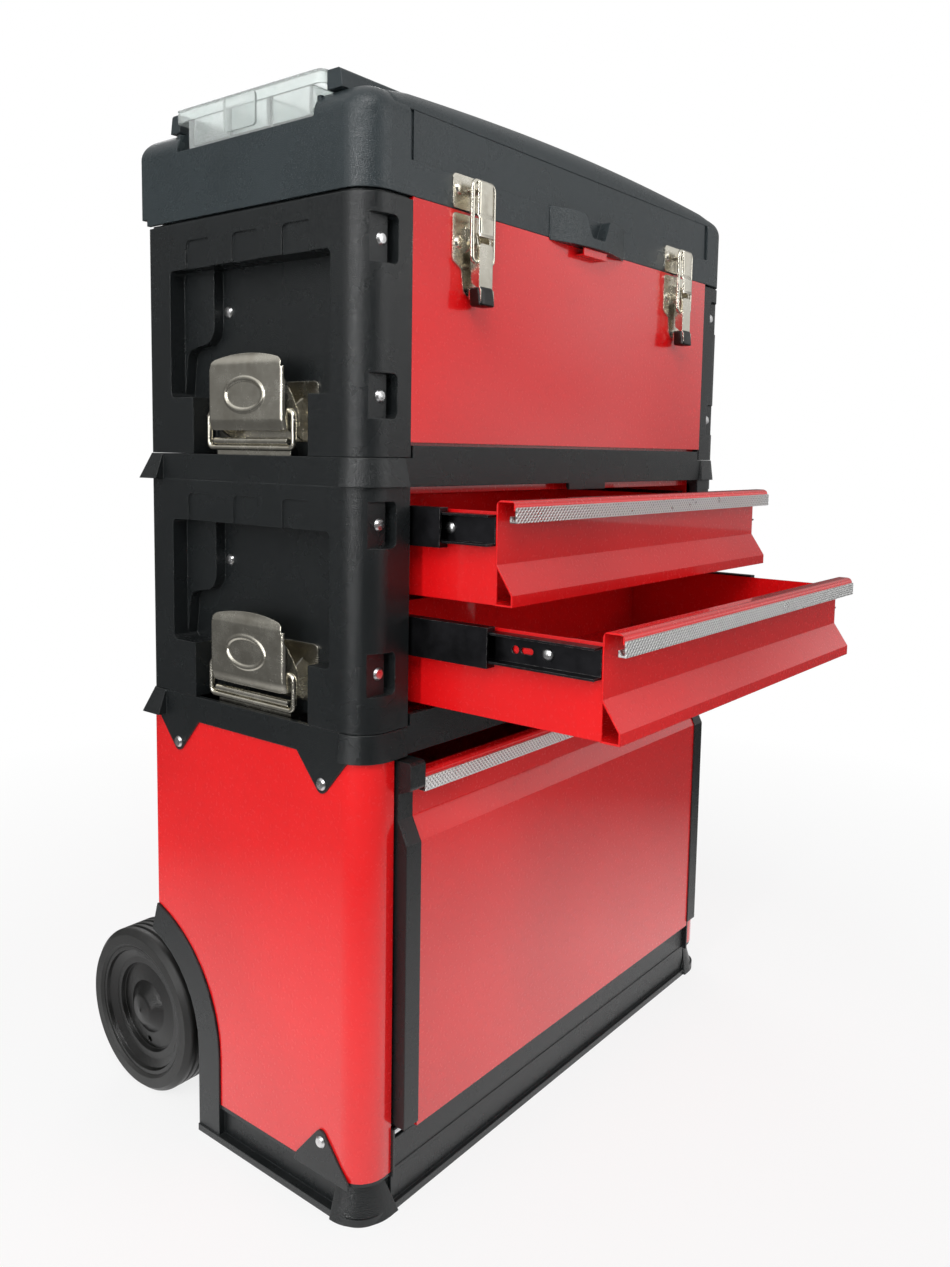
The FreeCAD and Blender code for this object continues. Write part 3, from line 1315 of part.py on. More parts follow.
def make_top_latch_bases():
    """Bases of the side latches and of the front latches."""
    body = new_body("top_latch_bases")
    for side in (-1, 1):
        add_latch_base(body, side, top_low)
        centre = side * draw_x
        pin_z = top_high - draw_pin_drop
        pin_y = front - draw_pin_out
        shoulder = top_high - draw_shoulder
        foot = top_high - draw_base_low
        pad(body, "front", front - latch_plate, front,
            [(centre - draw_half, top_high - 2, 3), (centre - draw_half, shoulder, 3),
             (centre - draw_foot_half, shoulder - 5, 3), (centre - draw_foot_half + 3, foot, 6),
             (centre + draw_foot_half - 3, foot, 6), (centre + draw_foot_half, shoulder - 5, 3),
             (centre + draw_half, shoulder, 3), (centre + draw_half, top_high - 2, 3)])
        for end in (-1, 1):
            ear = span(end, draw_lever_half + ear_gap, draw_lever_half + ear_gap + latch_plate)
            ear = (centre + ear[0], centre + ear[1])
            pad(body, "side", *ear,
                [(front, pin_z - 9), (front, pin_z + 9), (pin_y - 3, pin_z + 4, 2),
                 (pin_y - 3, pin_z - 4, 2)])
            pocket(body, "side", *ear, ("circle", pin_y, pin_z, pin_radius + fit_gap))
            rivet_z = top_high - draw_pin_drop - 3
            front_rivet(body, front - latch_plate, centre + end * draw_rivet, rivet_z)
    return body


def make_front_lever(side):
    """Draw lever: channel on its pin, ending in a deep grip tip."""
    body = new_body("front_lever_" + side_name(side))
    centre = side * draw_x
    pin_z = top_high - draw_pin_drop
    pin_y = front - draw_pin_out
    width = draw_lever_half
    face = front - lever_out
    low = top_high - draw_lever_low
    plate_top = pin_z - 3
    pivot_y = pin_y - hook_lead
    pivot_z = pin_z - hook_drop
    pad(body, "front", face - latch_plate, face, box(centre - width, low, centre + width, plate_top, 3))
    pad(body, "side", centre - width, centre + width,
        [(face - latch_plate, low + tip_high), (face - latch_plate * 2, low + tip_high - 2),
         (face - latch_plate * 2.5, low, 2), (pin_y + 3, low + 4, 3), (pin_y + 3, low + tip_high, 3),
         (face - latch_plate / 2, low + tip_high)])
    for end in (-1, 1):
        flange = span(end, width - latch_plate, width)
        flange = (centre + flange[0], centre + flange[1])
        pad(body, "side", *flange,
            [(face, low + tip_high - 1), (pin_y + 1, low + tip_high + 3), (pin_y + 3, pin_z + 3, 3),
             (pin_y - 3, pin_z + 3, 3), (face, plate_top - 2)])
        pocket(body, "side", *flange, ("circle", pivot_y, pivot_z, hook_wire + fit_gap))
        stub = span(end, width - latch_plate, width + ear_gap + latch_plate)
        pad(body, "side", centre + stub[0], centre + stub[1], ("circle", pin_y, pin_z, pin_radius))
    return body


def make_front_hook(side):
    """Draw hook: wire loop through the lever and over the catch, with a folded cover plate."""
    body = new_body("front_hook_" + side_name(side))
    centre = side * draw_x
    pivot_y = front - draw_pin_out - hook_lead
    pivot_z = top_high - draw_pin_drop - hook_drop
    cross_z = lid_low + hook_high
    corners = box(centre - hook_half, pivot_z, centre + hook_half, cross_z, 4)
    wire_loop(body, "front", pivot_y, corners, hook_wire,
              (centre + hook_half, (pivot_z + cross_z) / 2))
    top = cross_z + hook_wire
    face = front - lever_out
    out = face - latch_plate
    fold = top - cover_fold
    pad(body, "side", centre - cover_half, centre + cover_half,
        [(pivot_y, top), (pivot_y, top - latch_plate), (face, top - latch_plate), (face, fold),
         (face - 0.6, fold - 2), (face, fold - 4), (face, top - cover_low), (out, top - cover_low),
         (out, fold - 4.5), (out - 0.6, fold - 2), (out, fold + 0.5), (out, top, 1)])
    return body


# Lid
def make_lid_shell():
    """Black lid: hollow shell with proud ends, ridges, organizer notches and handle well."""
    body = new_body("lid_shell")
    rear = back + lid_tail
    pad(body, "plan", lid_low, lid_high,
        [(-half, front, corner_round), (half, front, corner_round), (half, rear), (-half, rear)])
    top = float(lid_high)
    fillet(body, lid_round, lambda bounds, edge: bounds.ZMin > top - 0.01)
    shell_out(body, plastic, lambda bounds: bounds.ZMax < float(lid_low) + 0.01)
    middle = half - lid_end
    pocket(body, "front", front, front + lid_step / 2,
           box(-middle, lid_low + lid_skirt, middle, lid_high + 1))
    slots = [flip(side, box(middle - lid_slot, lid_low + lid_skirt, middle, lid_high - lid_round * 0.6))
             for side in (-1, 1)]
    backs = [flip(side, box(middle - lid_slot - plastic, lid_low + lid_skirt - plastic,
                            middle + plastic, lid_high - lid_round / 2)) for side in (-1, 1)]
    pad(body, "front", front + plastic, front + lid_step + plastic, *backs)
    pocket(body, "front", front, front + lid_step, *slots)
    tails = [flip(side, box(half - lid_end - 10, lid_low - 1, half + 1, lid_low + tail_rise))
             for side in (-1, 1)]
    pocket(body, "front", back + rest_gap, rear + 1, *tails)
    well_low = lid_high - organizer_depth
    for side in (-1, 1):
        near = half - organizer_width
        block = span(side, near - plastic, half - plastic)
        pad(body, "side", *block,
            box(organizer_front - plastic, well_low - plastic, organizer_rear + plastic, lid_high - plastic))
        notch = span(side, near, half + 1)
        pocket(body, "side", *notch, box(organizer_front, well_low, organizer_rear, lid_high + 1))
        ridge = span(side, near - 6, half - 4)
        pad(body, "side", *ridge,
            [(organizer_front - 7.5 - ridge_width, lid_high - 1),
             (organizer_front - 7.5 - ridge_width + 2, lid_high + ridge_height, 2),
             (organizer_front - 7.5, lid_high + ridge_height, 1), (organizer_front - 7.5, lid_high - 1)])
        pad(body, "side", *ridge,
            [(flap_rear + rest_gap, lid_high - 1), (flap_rear + rest_gap, lid_high + ridge_height, 1),
             (flap_rear + rest_gap + 8, lid_high + ridge_height, 2), (flap_rear + rest_gap + 10, lid_high - 1)])
        pocket(body, "front", flap_front - 4, flap_rear + 4,
               ("circle", side * (near - 4 + flap_barrel), lid_high + bin_rise + rest_gap + flap_barrel,
                flap_pin + fit_gap))
    well = carry_half + 2
    deep = carry_depth / 2 + 4
    pad(body, "plan", lid_high - carry_well - plastic, lid_high - plastic,
        box(-well - plastic, -deep - plastic, well + plastic, deep + plastic))
    pocket(body, "plan", lid_high - carry_well, lid_high + 1, box(-well, -deep, well, deep, 4))
    pin_z = lid_high - carry_well + carry_thick / 2 + 1
    pin_y = carry_depth / 2 - carry_thick / 2
    pocket(body, "side", -(well + 2), well + 2, ("circle", pin_y, pin_z, pin_radius + fit_gap))
    lug_back = front - rest_gap
    lug_face = front - lug_out
    lug_top = lid_low + lug_high
    pad(body, "plan", lid_low - lug_low, lug_top,
        [(-lug_half, lug_back), (0, lug_back - lug_out * 2, lug_bow), (lug_half, lug_back)])
    pad(body, "plan", lid_low + 1, lug_top,
        box(-lug_half + 1, lug_back - 0.2, lug_half - 1, front + plastic))
    bottom = lug_top - scoop_depth
    slope = (scoop_half + scoop_foot) / 2
    pocket(body, "front", lug_face - 1, front - 1,
           [(-scoop_half, lug_top + 1), (-slope, lug_top - 1, 6), (-scoop_foot - 3, bottom, 5),
            (scoop_foot + 3, bottom, 5), (slope, lug_top - 1, 6), (scoop_half, lug_top + 1)])
    for side in (-1, 1):
        for place in (70, 150):
            knuckle = span(side, place - knuckle_length / 2, place - rest_gap)
            pad(body, "side", *knuckle,
                [(lid_hinge_y - knuckle_radius, lid_hinge_z), (lid_hinge_y + knuckle_radius, lid_hinge_z),
                 (lid_hinge_y + 1, lid_low + 4), (rear - plastic, lid_low + 4), (rear - plastic, lid_low)])
            pad(body, "side", *knuckle, ("circle", lid_hinge_y, lid_hinge_z, knuckle_radius))
            pocket(body, "side", *knuckle,
                   ("circle", lid_hinge_y, lid_hinge_z, hinge_pin_radius + fit_gap))
    return body


def make_lid_catches():
    """Catch plates of the front latches on the lid."""
    body = new_body("lid_catches")
    for side in (-1, 1):
        centre = side * draw_x
        pad(body, "front", front - latch_plate, front,
            box(centre - draw_half, lid_low + 0.5, centre + draw_half, lid_low + catch_high, 3))
        lip_top = lid_low + hook_high - hook_wire - lip_slack
        pad(body, "front", front - draw_pin_out - hook_lead - 0.5, front - latch_plate,
            box(centre - catch_half, lip_top - latch_plate, centre + catch_half, lip_top))
        for end in (-1, 1):
            front_rivet(body, front - latch_plate, centre + end * draw_rivet, lid_low + 13)
    return body


def make_organizer_bins():
    """Two shallow trays with dividers, set in the lid's ends."""
    body = new_body("organizer_bins")
    low = lid_high - organizer_depth
    for side in (-1, 1):
        near = half - organizer_width + rest_gap
        far = half
        top = lid_high + bin_rise
        pad(body, "side", *span(side, near, far),
            box(organizer_front + 1, low, organizer_rear - 14, top))
        cells = 3
        pitch = (organizer_rear - organizer_front - 15 - bin_wall) / cells
        for index in range(cells):
            start = organizer_front + 1 + bin_wall + pitch * index
            pocket(body, "plan", low + bin_wall, top,
                   flip(side, box(near + bin_wall, start, far - bin_wall, start + pitch - bin_wall, 3)))
    return body


def make_organizer_flap(side):
    """Clear hinged cover of one organizer."""
    body = new_body("organizer_flap_" + side_name(side))
    low = lid_high + bin_rise + rest_gap
    near = half - organizer_width - 4
    far = half
    pad(body, "plan", low, low + flap_height,
        flip(side, box(near + flap_barrel, flap_front, far, flap_rear, 5)))
    pocket(body, "plan", low, low + flap_height - flap_wall,
           flip(side, box(near + flap_wall, flap_front + flap_wall, far - flap_wall,
                          flap_rear - flap_wall, 3.5)))
    pad(body, "front", flap_front, flap_rear,
        ("circle", side * (near + flap_barrel), low + flap_barrel, flap_barrel))
    pad(body, "front", flap_front - 3, flap_rear + 3,
        ("circle", side * (near + flap_barrel), low + flap_barrel, flap_pin))
    clip = span(side, far + rest_gap, far + rest_gap + flap_wall)
    pad(body, "side", *clip,
        box(flap_clip_y - flap_clip_half, low - flap_clip_drop, flap_clip_y + flap_clip_half,
            low + flap_height - 2, 3))
    pad(body, "side", *span(side, far - 1, far + 1),
        box(flap_clip_y - flap_clip_half + 1, low + 0.5, flap_clip_y + flap_clip_half - 1,
            low + flap_height - 3))
    return body


def make_lid_handle():
    """Folding carry handle, lying flat in the lid."""
    body = new_body("lid_handle")
    low = lid_high - carry_well + 1
    front_edge = -carry_depth / 2
    rear_edge = carry_depth / 2
    leg = carry_half - carry_leg
    pad(body, "plan", low, low + carry_thick,
        [(-carry_half, rear_edge), (-carry_half, front_edge, 8), (carry_half, front_edge, 8),
         (carry_half, rear_edge), (leg, rear_edge), (leg, front_edge + carry_leg, 6),
         (-leg, front_edge + carry_leg, 6), (-leg, rear_edge)])
    end = float(rear_edge)
    fillet(body, carry_thick / 2 - 0.05,
           lambda bounds, edge: bounds.YMin > end - 0.01 and bounds.XLength > float(carry_leg) - 0.1)
    pad(body, "side", -(carry_half + 3.5), carry_half + 3.5,
        ("circle", rear_edge - carry_thick / 2, low + carry_thick / 2, pin_radius))
    pocket(body, "side", -leg, leg,
           box(rear_edge - carry_thick, low - 1, rear_edge + 1, low + carry_thick + 1))
    return body


def build():
    """Makes every sub-part of the trolley."""
    make_base_tray()
    make_back_panel()
    make_lower_collar()
    make_lower_strikes()
    make_lower_rivets()
    make_axle()
    make_handle_tubes("handle_outer_tubes", beam_top, tube_top, tube_radius)
    make_handle_tubes("handle_inner_tubes", inner_foot, grip_low + 12, inner_radius)
    make_handle_grip()
    make_handle_button()
    make_bin_rod()
    make_bin_tub()
    make_door_panel()
    make_door_strip()
    make_door_trims()
    make_middle_shell()
    make_middle_collar()
    make_unit_rivets("middle_rivets", middle_low)
    make_slide_outers()
    make_latch_bases()
    make_top_shell()
    make_unit_rivets("top_rivets", top_low)
    make_top_latch_bases()
    make_lid_pin()
    make_lid_shell()
    make_lid_catches()
    make_organizer_bins()
    make_lid_handle()
    for name, unit_top, out in (("upper", upper_top, upper_out), ("lower", lower_top, lower_out)):
        make_drawer(name, unit_top, out)
        make_drawer_strip(name, unit_top, out)
        make_slide_inners(name, unit_top, out)
        make_slide_middles(name, unit_top, out)
    for side in (-1, 1):
        make_side_panel(side)
        make_wheel_disc(side)
        make_tyre(side)
        make_cap("middle", side, middle_low, middle_high)
        make_cap("top", side, top_low, top_high)
        make_side_lever("middle", side, middle_low)
        make_side_bail("middle", side, middle_low)
        make_side_lever("top", side, top_low)
        make_side_bail("top", side, top_low)
        make_front_lever(side)
        make_front_hook(side)
        make_organizer_flap(side)


def write_parts():
    """Checks every object and writes one file for each sub-part."""
    document.recompute()
    for item in document.Objects:
        if "Invalid" in item.State or "Error" in item.State:
            raise ValueError(f"{item.Name} did not compute: {item.State}")
    os.makedirs("parts", exist_ok=True)
    for part in parts:
        if part.Shape.isNull() or not part.Shape.isValid():
            raise ValueError(f"{part.Label} has no valid shape")
        part.Shape.exportStep(f"parts/{part.Label}.step")


build()
write_parts()
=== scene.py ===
import json
import math

import bpy
import numpy as np
from mathutils import Matrix, Vector


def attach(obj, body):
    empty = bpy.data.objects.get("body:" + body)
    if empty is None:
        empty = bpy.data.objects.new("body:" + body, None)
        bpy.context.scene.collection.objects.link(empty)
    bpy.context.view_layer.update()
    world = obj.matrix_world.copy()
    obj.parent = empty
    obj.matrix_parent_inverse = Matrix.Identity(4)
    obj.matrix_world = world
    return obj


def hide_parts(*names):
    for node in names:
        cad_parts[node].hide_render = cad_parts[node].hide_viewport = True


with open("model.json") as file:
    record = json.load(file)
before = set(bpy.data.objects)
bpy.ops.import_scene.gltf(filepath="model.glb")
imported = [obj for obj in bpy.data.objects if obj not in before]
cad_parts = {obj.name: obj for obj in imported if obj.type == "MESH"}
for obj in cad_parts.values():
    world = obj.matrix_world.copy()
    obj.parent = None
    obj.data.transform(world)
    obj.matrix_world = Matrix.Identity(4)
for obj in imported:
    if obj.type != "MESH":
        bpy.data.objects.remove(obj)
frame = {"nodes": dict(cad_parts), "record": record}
bpy.context.view_layer.update()
nodes = frame["nodes"]


# Shader building blocks

class Wiring:
    """A shader tree with short calls for making nodes and joining them."""

    def __init__(self, tree):
        self.tree = tree

    def node(self, kind, **settings):
        made = self.tree.nodes.new(kind)
        for name, value in settings.items():
            setattr(made, name, value)
        return made

    def join(self, output, socket):
        self.tree.links.new(output, socket)

    def feed(self, socket, value):
        if isinstance(value, bpy.types.NodeSocket):
            self.join(value, socket)
        else:
            socket.default_value = value

    def math(self, operation, first, second=0.0, clamp=False):
        made = self.node("ShaderNodeMath", operation=operation, use_clamp=clamp)
        for socket, value in zip(made.inputs, (first, second)):
            self.feed(socket, value)
        return made.outputs[0]

    def vector_math(self, operation, first, second=(0, 0, 0)):
        made = self.node("ShaderNodeVectorMath", operation=operation)
        self.feed(made.inputs[0], first)
        self.feed(made.inputs[1], second)
        return made.outputs["Value" if operation in ("DOT_PRODUCT", "LENGTH") else "Vector"]

    def ramp(self, value, low, high, start=0.0, end=1.0):
        """Straight rise from start to end as the value goes from low to high, held flat outside."""
        made = self.node("ShaderNodeMapRange", clamp=True)
        for socket, given in zip(made.inputs[:5], (value, low, high, start, end)):
            self.feed(socket, given)
        return made.outputs["Result"]

    def noise(self, place, scale, detail=2.0, roughness=0.5):
        made = self.node("ShaderNodeTexNoise")
        self.feed(made.inputs["Vector"], place)
        self.feed(made.inputs["Scale"], scale)
        made.inputs["Detail"].default_value = detail
        made.inputs["Roughness"].default_value = roughness
        return made.outputs["Fac"]

    def cells(self, place, scale, feature="F1"):
        made = self.node("ShaderNodeTexVoronoi", feature=feature)
        self.feed(made.inputs["Vector"], place)
        self.feed(made.inputs["Scale"], scale)
        return made.outputs["Distance"]

    def mix_colour(self, share, first, second):
        made = self.node("ShaderNodeMix", data_type="RGBA")
        self.feed(made.inputs["Factor"], share)
        self.feed(made.inputs["A"], first)
        self.feed(made.inputs["B"], second)
        return made.outputs["Result"]

    def place(self):
        return self.node("ShaderNodeTexCoord").outputs["Object"]


def colour(red, green, blue):
    """Linear colour from display values 0 to 255."""
    return tuple(((c / 255 + 0.055) / 1.055) ** 2.4 if c > 10 else c / 255 / 12.92
                 for c in (red, green, blue)) + (1.0,)


def new_group(name, inputs, outputs):
    """Shader node group with named inputs (name, kind, default) and outputs (name, kind)."""
    group = bpy.data.node_groups.new(name, "ShaderNodeTree")
    for label, kind, default in inputs:
        socket = group.interface.new_socket(label, in_out="INPUT", socket_type="NodeSocket" + kind)
        if kind != "Vector":
            socket.default_value = default
    for label, kind in outputs:
        group.interface.new_socket(label, in_out="OUTPUT", socket_type="NodeSocket" + kind)
    wires = Wiring(group)
    return group, wires, wires.node("NodeGroupInput"), wires.node("NodeGroupOutput")


def make_grain_group():
    """Moulded grain: small rounded cells with soft valleys, over a slow mottle of the tool's surface.

    Height is the cells' distance to their edges, bent by a fine noise. Mottle drifts between 0 and 1
    over a few centimetres."""
    group, w, given, out = new_group(
        "moulded_grain", [("Place", "Vector", None), ("Cell size", "Float", 0.0012)],
        [("Height", "Float"), ("Mottle", "Float")])
    place = given.outputs["Place"]
    scale = w.math("DIVIDE", 1.0, given.outputs["Cell size"])
    bend = w.noise(place, w.math("MULTIPLY", scale, 0.6), 2.0)
    push = w.math("MULTIPLY", bend, w.math("MULTIPLY", given.outputs["Cell size"], 0.9))
    moved = w.vector_math("ADD", place, push)
    w.join(w.ramp(w.cells(moved, scale, "DISTANCE_TO_EDGE"), 0.0, 0.35), out.inputs["Height"])
    w.join(w.noise(place, 22.0, 4.0, 0.6), out.inputs["Mottle"])
    return group


def make_dust_group():
    """Dust: settles on faces that look up and thins out as they turn down, broken up by noise."""
    group, w, given, out = new_group(
        "settled_dust", [("Place", "Vector", None), ("Amount", "Float", 0.1)], [("Mask", "Float")])
    face = w.node("ShaderNodeNewGeometry")
    up = w.vector_math("DOT_PRODUCT", face.outputs["Normal"], (0, 0, 1))
    patch = w.noise(given.outputs["Place"], 35.0, 6.0, 0.7)
    settled = w.math("MULTIPLY", w.ramp(up, 0.1, 0.95), w.ramp(patch, 0.35, 0.7))
    w.join(w.math("MULTIPLY", settled, given.outputs["Amount"]), out.inputs["Mask"])
    return group


def make_wear_group():
    """Edge wear: how far a softly rounded edge's normal turns from the face's own, broken up by noise."""
    group, w, given, out = new_group(
        "edge_wear", [("Place", "Vector", None), ("Width", "Float", 0.0008), ("Breaks", "Float", 120.0)],
        [("Mask", "Float"), ("Normal", "Vector")])
    rounded = w.node("ShaderNodeBevel", samples=4)
    w.join(given.outputs["Width"], rounded.inputs["Radius"])
    face = w.node("ShaderNodeNewGeometry")
    turn = w.vector_math("DOT_PRODUCT", rounded.outputs["Normal"], face.outputs["Normal"])
    edge = w.ramp(turn, 0.995, 0.86)
    breaks = w.ramp(w.noise(given.outputs["Place"], given.outputs["Breaks"], 4.0, 0.6), 0.38, 0.62)
    w.join(w.math("MULTIPLY", edge, breaks), out.inputs["Mask"])
    w.join(rounded.outputs["Normal"], out.inputs["Normal"])
    return group


def make_ripple_group():
    """Ripple of bent sheet and paint: slow waves of the sheet and the finer skin of the paint."""
    group, w, given, out = new_group(
        "sheet_ripple", [("Place", "Vector", None), ("Wave", "Float", 9.0), ("Skin", "Float", 420.0)],
        [("Wave", "Float"), ("Skin", "Float")])
    w.join(w.noise(given.outputs["Place"], given.outputs["Wave"], 1.5, 0.4), out.inputs["Wave"])
    w.join(w.noise(given.outputs["Place"], given.outputs["Skin"], 1.0, 0.5), out.inputs["Skin"])
    return group


grain_group = make_grain_group()
dust_group = make_dust_group()
wear_group = make_wear_group()
ripple_group = make_ripple_group()


def new_finish(name):
    """New material with its surface shader and wiring."""
    made = bpy.data.materials.new(name)
    made.use_nodes = True
    made.node_tree.nodes.clear()
    w = Wiring(made.node_tree)
    shader = w.node("ShaderNodeBsdfPrincipled")
    out = w.node("ShaderNodeOutputMaterial")
    w.join(shader.outputs[0], out.inputs["Surface"])
    return made, w, shader


def put_group(w, group, place, **values):
    """A node group set at a place, with its other inputs given by name; returns its outputs."""
    made = w.node("ShaderNodeGroup", node_tree=group)
    w.join(place, made.inputs["Place"])
    for label, value in values.items():
        w.feed(made.inputs[label.replace("_", " ")], value)
    return made.outputs


def bump(w, shader, layers, under=None):
    """Bumps stacked one on another: each layer is (height, depth in metres, strength)."""
    normal = under
    for height, depth, strength in layers:
        made = w.node("ShaderNodeBump")
        made.inputs["Strength"].default_value = strength
        made.inputs["Distance"].default_value = depth
        w.join(height, made.inputs["Height"])
        if normal is not None:
            w.join(normal, made.inputs["Normal"])
        normal = made.outputs["Normal"]
    w.join(normal, shader.inputs["Normal"])


def moulded_plastic(name, tone, worn, cell=0.0011, gloss=0.27, depth=0.0001):
    """Moulded plastic with a grained skin, rubbed edges and a little dust on top."""
    made, w, shader = new_finish(name)
    place = w.place()
    grain = put_group(w, grain_group, place, Cell_size=cell)
    wear = put_group(w, wear_group, place, Width=0.0009, Breaks=90.0)
    powder = put_group(w, dust_group, place, Amount=0.04)
    dark = tuple(c * 0.86 for c in tone[:3]) + (1.0,)
    base = w.mix_colour(w.ramp(grain["Mottle"], 0.3, 0.7), dark, tone)
    base = w.mix_colour(w.math("MULTIPLY", wear["Mask"], 0.3), base, worn)
    base = w.mix_colour(powder["Mask"], base, colour(150, 150, 148))
    w.join(base, shader.inputs["Base Color"])
    rough = w.ramp(grain["Mottle"], 0.3, 0.7, gloss - 0.03, gloss + 0.03)
    rough = w.math("SUBTRACT", rough, w.math("MULTIPLY", wear["Mask"], 0.05))
    w.join(w.math("ADD", rough, powder["Mask"], clamp=True), shader.inputs["Roughness"])
    shader.inputs["IOR"].default_value = 1.48
    bump(w, shader, [(grain["Height"], depth, 0.8)], wear["Normal"])
    return made


def gloss_paint(name, tone, deep):
    """Gloss paint on bent steel sheet: a clear skin over red, slight waves and a fine orange peel."""
    made, w, shader = new_finish(name)
    place = w.place()
    ripple = put_group(w, ripple_group, place, Wave=7.0, Skin=380.0)
    wear = put_group(w, wear_group, place, Width=0.0007, Breaks=140.0)
    powder = put_group(w, dust_group, place, Amount=0.05)
    base = w.mix_colour(w.ramp(ripple["Wave"], 0.3, 0.7), deep, tone)
    base = w.mix_colour(w.math("MULTIPLY", wear["Mask"], 0.25), base, deep)
    base = w.mix_colour(powder["Mask"], base, colour(200, 120, 118))
    w.join(base, shader.inputs["Base Color"])
    w.join(w.ramp(ripple["Skin"], 0.2, 0.8, 0.2, 0.3), shader.inputs["Roughness"])
    shader.inputs["Coat Weight"].default_value = 1.0
    shader.inputs["Coat Roughness"].default_value = 0.03
    shader.inputs["IOR"].default_value = 1.45
    bump(w, shader, [(ripple["Wave"], 0.0016, 0.9), (ripple["Skin"], 0.00002, 0.5)], wear["Normal"])
    return made


def plated_steel(name, tone, shade, rough=0.16):
    """Bright nickel or zinc plate on pressed steel: rolled streaks, faint clouds and rubbed edges."""
    made, w, shader = new_finish(name)
    place = w.place()
    wear = put_group(w, wear_group, place, Width=0.0005, Breaks=260.0)
    clouds = w.noise(place, 70.0, 5.0, 0.65)
    stretched = w.node("ShaderNodeMapping")
    w.join(place, stretched.inputs["Vector"])
    stretched.inputs["Scale"].default_value = (60, 60, 1400)
    streaks = w.noise(stretched.outputs[0], 1.0, 2.0)
    base = w.mix_colour(w.ramp(clouds, 0.3, 0.7), shade, tone)
    base = w.mix_colour(w.math("MULTIPLY", wear["Mask"], 0.4), base, (0.95, 0.93, 0.9, 1))
    w.join(base, shader.inputs["Base Color"])
    shader.inputs["Metallic"].default_value = 1.0
    rubbed = w.math("ADD", clouds, w.math("MULTIPLY", streaks, 0.3))
    w.join(w.ramp(rubbed, 0.4, 0.9, rough, rough + 0.16), shader.inputs["Roughness"])
    bump(w, shader, [(clouds, 0.0003, 0.6), (streaks, 0.00001, 0.3)], wear["Normal"])
    return made


KNURL_PITCH = 0.0034


def fluted_aluminium(name):
    """Satin aluminium strip with a fine crossed knurl along it, with painted shade in the knurl's grooves
    and a painted highlight on its ridges.
    """
    made, w, shader = new_finish(name)
    place = w.place()
    wear = put_group(w, wear_group, place, Width=0.0005, Breaks=200.0)
    parts = w.node("ShaderNodeSeparateXYZ")
    w.join(place, parts.inputs[0])
    along = parts.outputs["X"]
    across = parts.outputs["Z"]
    turns = 2 * math.pi / KNURL_PITCH
    one = w.math("SINE", w.math("MULTIPLY", w.math("ADD", along, across), turns))
    two = w.math("SINE", w.math("MULTIPLY", w.math("SUBTRACT", along, across), turns))
    knurl_height_and_painted_shade = w.math("MAXIMUM", one, two)
    # Painted shade and painted highlight: the colour runs from dull grey in the knurl's grooves to near
    # white on its ridges.
    base = w.mix_colour(w.ramp(knurl_height_and_painted_shade, -0.6, 0.9), (0.6, 0.59, 0.59, 1), (0.97, 0.97, 0.95, 1))
    w.join(base, shader.inputs["Base Color"])
    shader.inputs["Metallic"].default_value = 1.0
    w.join(w.ramp(w.noise(place, 90.0, 4.0), 0.3, 0.7, 0.26, 0.38), shader.inputs["Roughness"])
    bump(w, shader, [(knurl_height_and_painted_shade, 0.0005, 0.9)], wear["Normal"])
    return made


def drawn_tube(name, tone, rough):
    """Drawn and chromed tube with faint lengthwise lines."""
    made, w, shader = new_finish(name)
    place = w.place()
    wear = put_group(w, wear_group, place, Width=0.0005, Breaks=160.0)
    stretched = w.node("ShaderNodeMapping")
    w.join(place, stretched.inputs["Vector"])
    stretched.inputs["Scale"].default_value = (900, 900, 12)
    lines = w.noise(stretched.outputs[0], 1.0, 3.0)
    smudge = w.noise(place, 18.0, 4.0, 0.6)
    dull = tuple(c * 0.82 for c in tone[:3]) + (1.0,)
    w.join(w.mix_colour(w.ramp(smudge, 0.3, 0.7), dull, tone), shader.inputs["Base Color"])
    shader.inputs["Metallic"].default_value = 1.0
    w.join(w.ramp(smudge, 0.35, 0.75, rough, rough + 0.12), shader.inputs["Roughness"])
    bump(w, shader, [(lines, 0.00002, 0.4)], wear["Normal"])
    return made


def clear_cover(name):
    """Clear moulded cover, a little frosted and tinted in patches."""
    made, w, shader = new_finish(name)
    place = w.place()
    haze = w.noise(place, 60.0, 4.0, 0.6)
    w.join(w.mix_colour(haze, (0.86, 0.93, 0.91, 1), (0.97, 0.99, 0.98, 1)), shader.inputs["Base Color"])
    w.join(w.ramp(haze, 0.3, 0.8, 0.12, 0.3), shader.inputs["Roughness"])
    shader.inputs["Metallic"].default_value = 0.0
    shader.inputs["Transmission Weight"].default_value = 0.75
    shader.inputs["IOR"].default_value = 1.3
    bump(w, shader, [(haze, 0.0004, 0.4)])
    return made


def soft_rubber(name, tone, gloss, depth):
    """Rubber or soft grip with a fine bloom and moulding texture."""
    made, w, shader = new_finish(name)
    place = w.place()
    grain = put_group(w, grain_group, place, Cell_size=0.0007)
    wear = put_group(w, wear_group, place, Width=0.001, Breaks=70.0)
    powder = put_group(w, dust_group, place, Amount=0.1)
    pale = tuple(min(1.0, c * 2.2) for c in tone[:3]) + (1.0,)
    lighter = tuple(c * 1.35 for c in tone[:3]) + (1.0,)
    base = w.mix_colour(w.ramp(grain["Mottle"], 0.3, 0.75), tone, lighter)
    base = w.mix_colour(w.math("MULTIPLY", wear["Mask"], 0.5), base, pale)
    base = w.mix_colour(powder["Mask"], base, colour(140, 140, 138))
    w.join(base, shader.inputs["Base Color"])
    w.join(w.ramp(grain["Mottle"], 0.3, 0.7, gloss - 0.06, gloss + 0.08), shader.inputs["Roughness"])
    bump(w, shader, [(grain["Height"], depth, 0.5)], wear["Normal"])
    return made


